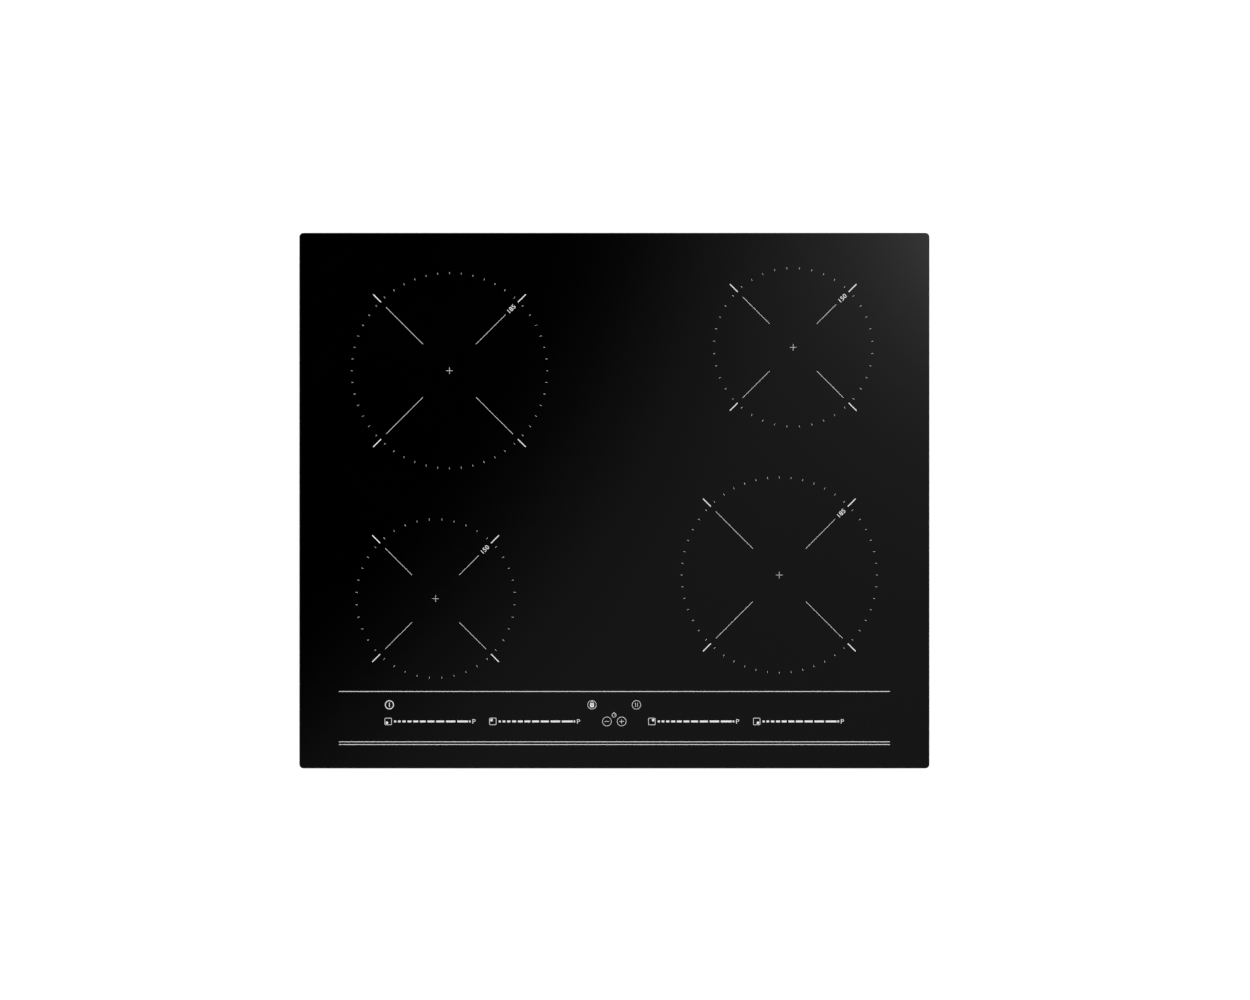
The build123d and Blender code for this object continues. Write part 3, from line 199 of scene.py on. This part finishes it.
def whiteEnamel():
    material, place = newFinish("white_enamel", {"IOR": 1.5})
    cover = place.noise(inkLook["mesh"], detail=1.0).range(*inkLook["meshBand"])
    cloud = place.noise(inkLook["cloud"]).range(*midBand)
    tone = cover.join(cloud, inkLook["cloudShare"])
    return feed(material, {"Base Color": tone.tint(inkLook["thin"], inkLook["full"]),
                           "Roughness": inkLook["rough"] - cover * inkLook["roughDrop"],
                           "Normal": cover.bump(*inkLook["meshBump"])})


# Rubber and silicone: foamed strip, smooth cured bead, soft sleeve
rubberLooks = {
    "seal_rubber": {"dark": (0.008, 0.008, 0.008, 1), "light": (0.026, 0.026, 0.027, 1), "rough": 0.72,
                    "cell": 1500.0, "depth": 0.12 * mm},
    "silicone": {"dark": (0.085, 0.085, 0.09, 1), "light": (0.15, 0.15, 0.155, 1), "rough": 0.36,
                 "cell": 260.0, "depth": 0.08 * mm},
    "wire_sleeve": {"dark": (0.035, 0.036, 0.04, 1), "light": (0.075, 0.075, 0.08, 1), "rough": 0.5,
                    "cell": 900.0, "depth": 0.03 * mm},
}
rubberSkin = {"poreBand": (0.1, 0.6), "poreBump": 0.5, "dustScale": 0.07, "dustBand": (0.3, 0.75),
              "dustShare": 0.4, "dustRough": 0.14}


def rubber(name):
    look = rubberLooks[name]
    material, place = newFinish(name, {"IOR": 1.45})
    pores = place.cells(look["cell"]).range(*rubberSkin["poreBand"])
    dust = place.noise(look["cell"] * rubberSkin["dustScale"], detail=3.0).range(*rubberSkin["dustBand"])
    tone = pores.join(dust, rubberSkin["dustShare"])
    return feed(material, {"Base Color": tone.tint(look["dark"], look["light"]),
                           "Roughness": look["rough"] + dust * rubberSkin["dustRough"],
                           "Normal": pores.bump(rubberSkin["poreBump"], look["depth"])})


# Powder coat on the carrier frame: fine orange peel
coatLook = {"dark": (0.010, 0.010, 0.011, 1), "light": (0.019, 0.019, 0.021, 1), "rough": 0.36,
            "peel": 1150.0, "peelBump": (0.35, 0.09 * mm), "cloud": 26.0, "cloudRough": 0.1}


def blackSteel():
    material, place = newFinish("black_steel", {"IOR": 1.5})
    peel = place.noise(coatLook["peel"], rough=0.4)
    cloud = place.noise(coatLook["cloud"]).range(*midBand)
    return feed(material, {"Base Color": cloud.tint(coatLook["dark"], coatLook["light"]),
                           "Roughness": coatLook["rough"] + cloud * coatLook["cloudRough"],
                           "Normal": peel.bump(*coatLook["peelBump"])})


# Zinc-coated sheet: flat crystals of the hot dip, feathered each in its own direction
zincLook = {"dark": (0.40, 0.415, 0.43, 1), "light": (0.59, 0.605, 0.62, 1), "rough": 0.28, "roughStep": 0.16,
            "crystal": 105.0, "crystalShare": 0.5, "small": 330.0, "smallShare": 0.16,
            "rolled": (12.0, 900.0, 900.0), "rolledShare": 0.2, "feather": 11000.0, "featherShare": 0.14,
            "waver": 0.0022, "waverScale": 260.0,
            "tiltHeight": 0.4, "lineHeight": 0.3, "bump": (0.12, 0.03 * mm)}


def zincSheet():
    material, place = newFinish("zinc_steel", {"Metallic": 1.0})
    waver = place.noise(zincLook["waverScale"], out="Color")
    edge = waver.vector("MULTIPLY_ADD", (zincLook["waver"],) * 3, place)
    crystal = edge.cells(zincLook["crystal"], "Color")
    shade, gloss, tilt = crystal.parts()
    lean = crystal.vector("SUBTRACT", (0.5, 0.5, 0.5))  # each crystal's own direction
    feather = (place.vector("DOT_PRODUCT", lean) * zincLook["feather"]).bend("SINE").range(-1.0, 1.0)
    small = edge.cells(zincLook["small"], "Color").parts()[0]
    rolled = place.stretch(zincLook["rolled"]).noise(1.0, detail=3.0).range(*midBand)
    tone = (shade * zincLook["crystalShare"] + small * zincLook["smallShare"]
            + rolled * zincLook["rolledShare"] + feather * zincLook["featherShare"])
    relief = (tilt * zincLook["tiltHeight"] + feather * zincLook["lineHeight"]
              + rolled * zincLook["lineHeight"])
    return feed(material, {"Base Color": tone.tint(zincLook["dark"], zincLook["light"]),
                           "Roughness": zincLook["rough"] + gloss * zincLook["roughStep"],
                           "Normal": relief.bump(*zincLook["bump"])})


# Bare and plated metals, each with its own lay of fine lines
metalLooks = {
    "screw_steel": {"dark": (0.50, 0.51, 0.54, 1), "light": (0.74, 0.75, 0.78, 1), "rough": 0.2,
                    "lines": (900.0, 900.0, 160.0), "depth": 0.012 * mm},
    "spring_steel": {"dark": (0.33, 0.33, 0.35, 1), "light": (0.52, 0.52, 0.54, 1), "rough": 0.28,
                     "lines": (60.0, 1800.0, 1800.0), "depth": 0.014 * mm},
    "brass_spacer": {"dark": (0.55, 0.39, 0.15, 1), "light": (0.78, 0.60, 0.29, 1), "rough": 0.24,
                     "lines": (90.0, 90.0, 2600.0), "depth": 0.012 * mm},
    "bush_bronze": {"dark": (0.33, 0.21, 0.10, 1), "light": (0.58, 0.42, 0.24, 1), "rough": 0.42,
                    "lines": (1600.0, 1600.0, 1600.0), "depth": 0.03 * mm},
    "aluminium_sheet": {"dark": (0.60, 0.61, 0.62, 1), "light": (0.80, 0.81, 0.82, 1), "rough": 0.3,
                        "lines": (1500.0, 18.0, 1500.0), "depth": 0.016 * mm},
}
metalSkin = {"lineBand": (0.28, 0.72), "lineBump": 0.25,
             "cloud": 85.0, "cloudShare": 0.45, "cloudRough": 0.12}


def metal(name):
    look = metalLooks[name]
    material, place = newFinish(name, {"Metallic": 1.0})
    lines = place.stretch(look["lines"]).noise(1.0, detail=3.0, rough=0.6).range(*metalSkin["lineBand"])
    cloud = place.noise(metalSkin["cloud"], detail=3.0).range(*midBand)
    tone = lines.join(cloud, metalSkin["cloudShare"])
    return feed(material, {"Base Color": tone.tint(look["dark"], look["light"]),
                           "Roughness": look["rough"] + cloud * metalSkin["cloudRough"],
                           "Normal": lines.bump(metalSkin["lineBump"], look["depth"])})


# Moulded plastics: spark-eroded grain, and a slight cloudiness from the filler
plasticLooks = {
    "grey_plastic": {"dark": (0.20, 0.205, 0.21, 1), "light": (0.29, 0.295, 0.30, 1), "rough": 0.48,
                     "grain": 1900.0},
    "black_plastic": {"dark": (0.014, 0.014, 0.015, 1), "light": (0.03, 0.03, 0.032, 1), "rough": 0.44,
                      "grain": 2100.0},
    "white_plastic": {"dark": (0.66, 0.66, 0.62, 1), "light": (0.80, 0.80, 0.77, 1), "rough": 0.38,
                      "grain": 2400.0},
    "display_plastic": {"dark": (0.03, 0.006, 0.006, 1), "light": (0.075, 0.018, 0.016, 1), "rough": 0.12,
                        "grain": 700.0},
    "capacitor_plastic": {"dark": (0.27, 0.028, 0.02, 1), "light": (0.42, 0.06, 0.045, 1), "rough": 0.26,
                          "grain": 1100.0},
}
plasticSkin = {"cloudScale": 0.03, "grainShare": 0.25, "grainRough": 0.1, "grainBump": (0.2, 0.025 * mm)}


def plastic(name):
    look = plasticLooks[name]
    material, place = newFinish(name, {"IOR": 1.5})
    grain = place.noise(look["grain"], rough=0.55).range(*midBand)
    cloud = place.noise(look["grain"] * plasticSkin["cloudScale"], detail=3.0).range(*midBand)
    tone = cloud.join(grain, plasticSkin["grainShare"])
    return feed(material, {"Base Color": tone.tint(look["dark"], look["light"]),
                           "Roughness": look["rough"] + grain * plasticSkin["grainRough"],
                           "Normal": grain.bump(*plasticSkin["grainBump"])})


# Ferrite bars: sintered, dull and speckled
ferriteLook = {"dark": (0.022, 0.022, 0.024, 1), "light": (0.07, 0.07, 0.074, 1), "rough": 0.82,
               "speck": 1400.0, "speckBand": (0.35, 0.75), "speckDrop": 0.2, "speckBump": (0.3, 0.05 * mm)}


def ferrite():
    material, place = newFinish("ferrite", {"IOR": 1.7})
    speck = place.noise(ferriteLook["speck"], detail=3.0, rough=0.7).range(*ferriteLook["speckBand"])
    return feed(material, {"Base Color": speck.tint(ferriteLook["dark"], ferriteLook["light"]),
                           "Roughness": ferriteLook["rough"] - speck * ferriteLook["speckDrop"],
                           "Normal": speck.bump(*ferriteLook["speckBump"])})


# Insulation discs: pressed flakes of mica with a little fibre
micaLook = {"dark": (0.50, 0.45, 0.36, 1), "light": (0.76, 0.72, 0.62, 1), "rough": 0.4,
            "flake": 420.0, "flakeRough": 0.3, "flakeBump": (0.2, 0.04 * mm),
            "fibre": 900.0, "fibreShare": 0.4}


def mica():
    material, place = newFinish("mica", {"IOR": 1.56})
    shade, gloss, tilt = place.cells(micaLook["flake"], "Color").parts()
    fibre = place.noise(micaLook["fibre"], detail=3.0, rough=0.6).range(*midBand)
    tone = shade.join(fibre, micaLook["fibreShare"])
    return feed(material, {"Base Color": tone.tint(micaLook["dark"], micaLook["light"]),
                           "Roughness": micaLook["rough"] + gloss * micaLook["flakeRough"],
                           "Normal": tilt.bump(*micaLook["flakeBump"])})


# Windings: a bundle of fine twisted copper wires
litzLook = {"dark": (0.36, 0.13, 0.05, 1), "light": (0.74, 0.36, 0.18, 1), "rough": 0.3,
            "strand": 3300.0, "slant": 0.7, "strandBump": (0.5, 0.08 * mm),
            "dull": 240.0, "dullShare": 0.4, "dullRough": 0.15}


def copperLitz():
    material, place = newFinish("copper", {"Metallic": 1.0})
    x, y, z = place.parts()
    twist = x * litzLook["slant"] + y * litzLook["slant"] + z
    strand = (twist * litzLook["strand"]).bend("SINE").range(-1.0, 1.0)
    dull = place.noise(litzLook["dull"], detail=3.0).range(*midBand)
    tone = strand.join(dull, litzLook["dullShare"])
    return feed(material, {"Base Color": tone.tint(litzLook["dark"], litzLook["light"]),
                           "Roughness": litzLook["rough"] + dull * litzLook["dullRough"],
                           "Normal": strand.bump(*litzLook["strandBump"])})


# Circuit boards: solder mask over tracks that run in nested squares
boardLook = {"mask": (0.012, 0.085, 0.035, 1), "track": (0.035, 0.20, 0.085, 1), "rough": 0.22,
             "pitch": 110.0, "rows": 7.0, "gap": 0.55, "weave": 1300.0, "weaveShare": 0.2, "weaveRough": 0.12,
             "bump": (0.25, 0.04 * mm)}


def circuitBoard():
    material, place = newFinish("circuit_board", {"IOR": 1.5})
    steps = place.cells(boardLook["pitch"], settings={"distance": "CHEBYCHEV"}) * boardLook["rows"]
    track = steps.bend("FRACT") > boardLook["gap"]
    weave = place.noise(boardLook["weave"]).range(*midBand)
    tone = track.join(weave, boardLook["weaveShare"])
    relief = track + weave * boardLook["weaveShare"]
    return feed(material, {"Base Color": tone.tint(boardLook["mask"], boardLook["track"]),
                           "Roughness": boardLook["rough"] + weave * boardLook["weaveRough"],
                           "Normal": relief.bump(*boardLook["bump"])})


finishes = {"black_glass": blackGlass(), "white_enamel": whiteEnamel(), "black_steel": blackSteel(),
            "zinc_steel": zincSheet(), "ferrite": ferrite(), "mica": mica(), "copper": copperLitz(),
            "circuit_board": circuitBoard()}
finishes.update({name: rubber(name) for name in rubberLooks})
finishes.update({name: metal(name) for name in metalLooks})
finishes.update({name: plastic(name) for name in plasticLooks})

for part in frame["record"]["subparts"]:
    piece = nodes[part["node"]]
    if not piece.material_slots:
        piece.data.materials.append(None)
    for slot in piece.material_slots:
        slot.material = finishes[part["material_slot"]]
print("finishes:", len(finishes))

# Signs that go on the glass with the same ink as the rings
signs = {"weld": 0.002 * mm, "roundness": 6, "ringSteps": 40}
signNames = []


def addSign(name, shape, slot="white_enamel"):
    bmesh.ops.remove_doubles(shape, verts=shape.verts, dist=signs["weld"])
    bmesh.ops.recalc_face_normals(shape, faces=shape.faces)
    mesh = bpy.data.meshes.new(name)
    shape.to_mesh(mesh)
    shape.free()
    piece = bpy.data.objects.new(name, mesh)
    bpy.context.scene.collection.objects.link(piece)
    mesh.materials.append(finishes[slot])
    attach(piece, "hob")
    signNames.append(name)


def reach(shape, axis):  # lowest and highest place along an axis
    places = [vert.co[axis] for vert in shape.verts]
    return min(places), max(places)


def inkLayer(shape):  # thickness of the print, up from the glass
    low, high = reach(shape, 2)
    thick = printHigh.z - glassHigh.z
    bmesh.ops.scale(shape, vec=(1, 1, thick / (high - low)), verts=shape.verts)
    low, high = reach(shape, 2)
    bmesh.ops.translate(shape, vec=(0, 0, glassHigh.z - low), verts=shape.verts)
    return shape


def lettering(words, look):
    curve = bpy.data.curves.new("letters", "FONT")
    curve.body = words
    curve.extrude = 0.1  # any depth: inkLayer sets it
    curve.offset = look["weight"]
    curve.resolution_u = signs["roundness"]
    holder = bpy.data.objects.new("letters", curve)
    flat = bpy.data.meshes.new_from_object(holder)
    shape = bmesh.new()
    shape.from_mesh(flat)
    left, right = reach(shape, 0)
    low, high = reach(shape, 1)
    bmesh.ops.translate(shape, vec=(-(left + right) / 2, -(low + high) / 2, 0), verts=shape.verts)
    stretch = (look["width"] / (right - left), look["height"] / (high - low), 1)
    bmesh.ops.scale(shape, vec=stretch, verts=shape.verts)
    bpy.data.objects.remove(holder)
    bpy.data.meshes.remove(flat)
    return shape


# Each zone's diameter, set along the diagonal line at its upper right
numbers = {"height": 4.15 * mm, "width": 8.1 * mm, "weight": 0.0, "turn": math.radians(45),
           "zones": {"rear_left": ("185", 83.5 * mm), "rear_right": ("150", 66.6 * mm),
                     "front_left": ("150", 66.6 * mm), "front_right": ("185", 83.5 * mm)}}

turned = Matrix.Rotation(numbers["turn"], 3, "Z")
for zone, (words, out) in numbers["zones"].items():
    low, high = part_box("coil_former_" + zone)
    middle = (low + high) / 2
    shape = inkLayer(lettering(words, numbers))
    bmesh.ops.rotate(shape, cent=(0, 0, 0), matrix=turned, verts=shape.verts)
    along = Vector((math.cos(numbers["turn"]), math.sin(numbers["turn"]), 0)) * out
    bmesh.ops.translate(shape, vec=Vector((middle.x, middle.y, 0)) + along, verts=shape.verts)
    addSign("zone_number_" + zone, shape)

# Letter at the end of each slider, x from the slider's left end
boost = {"letter": "P", "width": 2.85 * mm, "height": 4.1 * mm, "weight": -0.007,
         "x": 85.0 * mm, "y": -210.2 * mm,
         "sliders": {"front_left": -218.7 * mm, "rear_left": -119.1 * mm, "rear_right": 32.3 * mm,
                     "front_right": 132.1 * mm}}

for zone, left in boost["sliders"].items():
    shape = inkLayer(lettering(boost["letter"], boost))
    bmesh.ops.translate(shape, vec=(left + boost["x"], boost["y"], 0), verts=shape.verts)
    addSign("boost_letter_" + zone, shape)


# Rings and bars of the key signs, 1 mm tall until inkLayer sets it
def signRing(shape, outer, wide, turn=math.tau, steps=signs["ringSteps"]):
    corners = [shape.verts.new((x, 0, z)) for x, z in
               ((outer - wide, 0), (outer, 0), (outer, mm), (outer - wide, mm))]
    rim = [shape.edges.new((corners[k - 1], corners[k])) for k in range(4)]
    bmesh.ops.spin(shape, geom=corners + rim, cent=(0, 0, 0), axis=(0, 0, 1), angle=turn, steps=steps,
                   use_merge=turn == math.tau)
    bmesh.ops.holes_fill(shape, edges=[edge for edge in shape.edges if edge.is_boundary], sides=4)


def signBar(shape, wide, tall, turn=0.0, place=(0, 0)):
    stand = Matrix.Translation((*place, mm / 2)) @ Matrix.Rotation(turn, 4, "Z")
    bmesh.ops.create_cube(shape, size=1.0, matrix=stand @ Matrix.Diagonal((wide, tall, mm, 1)))


# Padlock in the lock key's ring: a body with a keyhole, and a shackle above it
padlock = {"x": -21.3 * mm, "y": -194.4 * mm, "width": 3.6 * mm, "low": -2.3 * mm, "high": 1.5 * mm,
           "corner": 0.4 * mm, "cornerSteps": 3, "rim": 0.5 * mm, "keyhole": (0.34, 0.5),
           "shackle": 1.35 * mm, "shackleSteps": 16, "line": 0.44 * mm, "legs": 0.6 * mm}

shape = bmesh.new()
middle = (padlock["high"] + padlock["low"]) / 2
signBar(shape, padlock["width"], padlock["high"] - padlock["low"], place=(0, middle))
upright = [edge for edge in shape.edges if abs(edge.verts[0].co.z - edge.verts[1].co.z) > mm / 2]
bmesh.ops.bevel(shape, geom=upright, offset=padlock["corner"], offset_type="OFFSET",
                segments=padlock["cornerSteps"], profile=0.5, affect="EDGES", material=-1)
flat = [face for face in shape.faces if abs(face.normal.z) > 0.9]  # top and underside
bmesh.ops.inset_individual(shape, faces=flat, thickness=padlock["rim"])
bmesh.ops.scale(shape, vec=(*padlock["keyhole"], 1), space=Matrix.Translation((0, -middle, 0)),
                verts=[vert for face in flat for vert in face.verts])
rims = [edge for face in flat for edge in face.edges]
bmesh.ops.delete(shape, geom=flat, context="FACES_ONLY")
bmesh.ops.bridge_loops(shape, edges=rims)  # the keyhole's wall
body = set(shape.verts)
signRing(shape, padlock["shackle"], padlock["line"], math.pi, padlock["shackleSteps"])
feet = [face for face in shape.faces if max(abs(vert.co.y) for vert in face.verts) < signs["weld"]]
legs = bmesh.ops.extrude_face_region(shape, geom=feet)["geom"]
bmesh.ops.delete(shape, geom=feet, context="FACES_ONLY")
bmesh.ops.translate(shape, vec=(0, -padlock["legs"], 0),
                    verts=[item for item in legs if isinstance(item, bmesh.types.BMVert)])
bmesh.ops.translate(shape, vec=(0, padlock["high"] + padlock["legs"], 0),
                    verts=[vert for vert in shape.verts if vert not in body])
inkLayer(shape)
bmesh.ops.translate(shape, vec=(padlock["x"], padlock["y"], 0), verts=shape.verts)
addSign("lock_sign", shape)

# Stopwatch above the minus and plus keys
stopwatch = {"x": -0.3 * mm, "y": -204.3 * mm, "radius": 2.05 * mm, "line": 0.41 * mm,
             "stem": (0.5 * mm, 0.4 * mm), "stemLift": 0.1 * mm,
             "knob": (1.5 * mm, 0.4 * mm), "knobLift": 0.42 * mm,
             "hand": (1.15 * mm, 0.4 * mm), "handTurn": math.radians(45)}

shape = bmesh.new()
signRing(shape, stopwatch["radius"], stopwatch["line"])
signBar(shape, *stopwatch["stem"], place=(0, stopwatch["radius"] + stopwatch["stemLift"]))
signBar(shape, *stopwatch["knob"], place=(0, stopwatch["radius"] + stopwatch["knobLift"]))
hand = stopwatch["hand"][0] / 2
signBar(shape, *stopwatch["hand"], turn=stopwatch["handTurn"],
        place=(hand * math.cos(stopwatch["handTurn"]), hand * math.sin(stopwatch["handTurn"])))
inkLayer(shape)
bmesh.ops.translate(shape, vec=(stopwatch["x"], stopwatch["y"], 0), verts=shape.verts)
addSign("timer_sign", shape)
print("signs on the glass:", len(signNames))

# Studio: pale floor, soft light all round, and a graded card that the glass mirrors
studio = {"floorSize": 9.0, "floorGap": 0.02 * mm, "floorGlow": 0.76, "floorColour": (0.45, 0.45, 0.45, 1),
          "horizon": 0.6, "wall": 0.22, "wallTop": 0.5,
          "ceiling": 1.9, "mirrorCeiling": 0.4, "mirrorDim": 0.4,
          "panels": 0.45, "panelWidth": (0.31, 0.42), "panelHeight": (0.3, 0.5),
          "cardHeight": 4.5, "cardSize": (2.6, 2.4), "cardLevel": 0.2, "cardGlow": 4.0,
          "shadeCentre": (-2.112, 1.394), "shadeFrom": 2.165, "shadeTo": 2.717,
          "glowCentre": (0.886, 0.645), "glowReach": 0.165,
          "keyPlace": (2.1, 0.5, 2.3), "keySize": 1.8, "keyPower": 30.0}


def stagePlane(name, width, depth, height, material):
    shape = bmesh.new()
    bmesh.ops.create_grid(shape, x_segments=1, y_segments=1, size=0.5)
    bmesh.ops.scale(shape, vec=(width, depth, 1), verts=shape.verts)
    bmesh.ops.translate(shape, vec=(0, 0, height), verts=shape.verts)
    mesh = bpy.data.meshes.new(name)
    shape.to_mesh(mesh)
    shape.free()
    mesh.materials.append(material)
    plane = bpy.data.objects.new(name, mesh)
    bpy.context.scene.collection.objects.link(plane)
    return plane


floorPaint = newFinish("floor_paint", {
    "Base Color": studio["floorColour"], "Roughness": 0.9, "Specular IOR Level": 0.0,
    "Emission Color": (1, 1, 1, 1), "Emission Strength": studio["floorGlow"]})[0]
floorLevel = cadBox[0].z - studio["floorGap"]
stagePlane("studio_floor", studio["floorSize"], studio["floorSize"], floorLevel, floorPaint)

cardPaint, place = newFinish("card_paint", {
    "Base Color": (0, 0, 0, 1), "Roughness": 1.0, "Specular IOR Level": 0.0, "Emission Strength": 1.0})
cardTop = glassHigh.z + studio["cardHeight"]
toShade = place.vector("DISTANCE", (*studio["shadeCentre"], cardTop))
toGlow = place.vector("DISTANCE", (*studio["glowCentre"], cardTop))
light = toShade.range(studio["shadeFrom"], studio["shadeTo"], kind="SMOOTHSTEP") * studio["cardLevel"]
light = light + studio["cardGlow"] * math.e ** (toGlow / -studio["glowReach"])
feed(cardPaint, {"Emission Color": light})
card = stagePlane("mirror_card", *studio["cardSize"], cardTop, cardPaint)
card.visible_camera = False
card.visible_diffuse = False
card.visible_shadow = False

key = bpy.data.lights.new("key_light", "AREA")
key.size = studio["keySize"]
key.energy = studio["keyPower"]
keyLamp = bpy.data.objects.new("key_light", key)
keyLamp.location = studio["keyPlace"]
keyLamp.rotation_euler = (-Vector(studio["keyPlace"])).to_track_quat("-Z", "Y").to_euler()
keyLamp.visible_glossy = False
bpy.context.scene.collection.objects.link(keyLamp)

world = bpy.data.worlds.new("studio")
world.use_nodes = True
bpy.context.scene.world = world
sky = Wire(world.node_tree)
across, along, height = sky.node("ShaderNodeTexCoord", out="Generated").parts()
mirrored = sky.node("ShaderNodeLightPath", out="Is Glossy Ray")
ceiling = studio["ceiling"] - mirrored * (studio["ceiling"] - studio["mirrorCeiling"])
glow = height.range(0.0, studio["wallTop"], studio["horizon"], studio["wall"], "SMOOTHSTEP")
glow = glow * (1.0 - mirrored * studio["mirrorDim"])
glow = glow + height.range(studio["wallTop"], 1.0, kind="SMOOTHSTEP") * ceiling
panels = abs(across * along).range(*studio["panelWidth"], kind="SMOOTHSTEP")
panels = panels * height.range(*studio["panelHeight"], kind="SMOOTHSTEP") * mirrored
glow = glow + panels * studio["panels"]
room = sky.node("ShaderNodeBackground", None, {"Strength": glow})
backdrop = sky.node("ShaderNodeBackground", None, {"Color": (1, 1, 1, 1), "Strength": 1.0})
seen = sky.node("ShaderNodeLightPath", out="Is Camera Ray")
mixed = sky.node("ShaderNodeMixShader", None, {0: seen, 1: room, 2: backdrop})
world.node_tree.links.new(mixed.socket, world.node_tree.nodes["World Output"].inputs["Surface"])
print("studio lit")

# Camera straight above, as wide as the photograph's frame at the glass
view = {"height": 4.0, "x": 10.1 * mm, "y": 0.6 * mm, "frameWidth": 1190.0 * mm, "sensor": 36.0}

lens = bpy.data.cameras.new("camera")
lens.sensor_width = view["sensor"]
lens.lens = view["sensor"] * view["height"] / view["frameWidth"]
camera = bpy.data.objects.new("camera", lens)
camera.location = (view["x"], view["y"], glassHigh.z + view["height"])
bpy.context.scene.collection.objects.link(camera)
bpy.context.scene.camera = camera
bpy.context.scene.view_settings.view_transform = "Standard"
print("camera set, lens", round(lens.lens, 1))
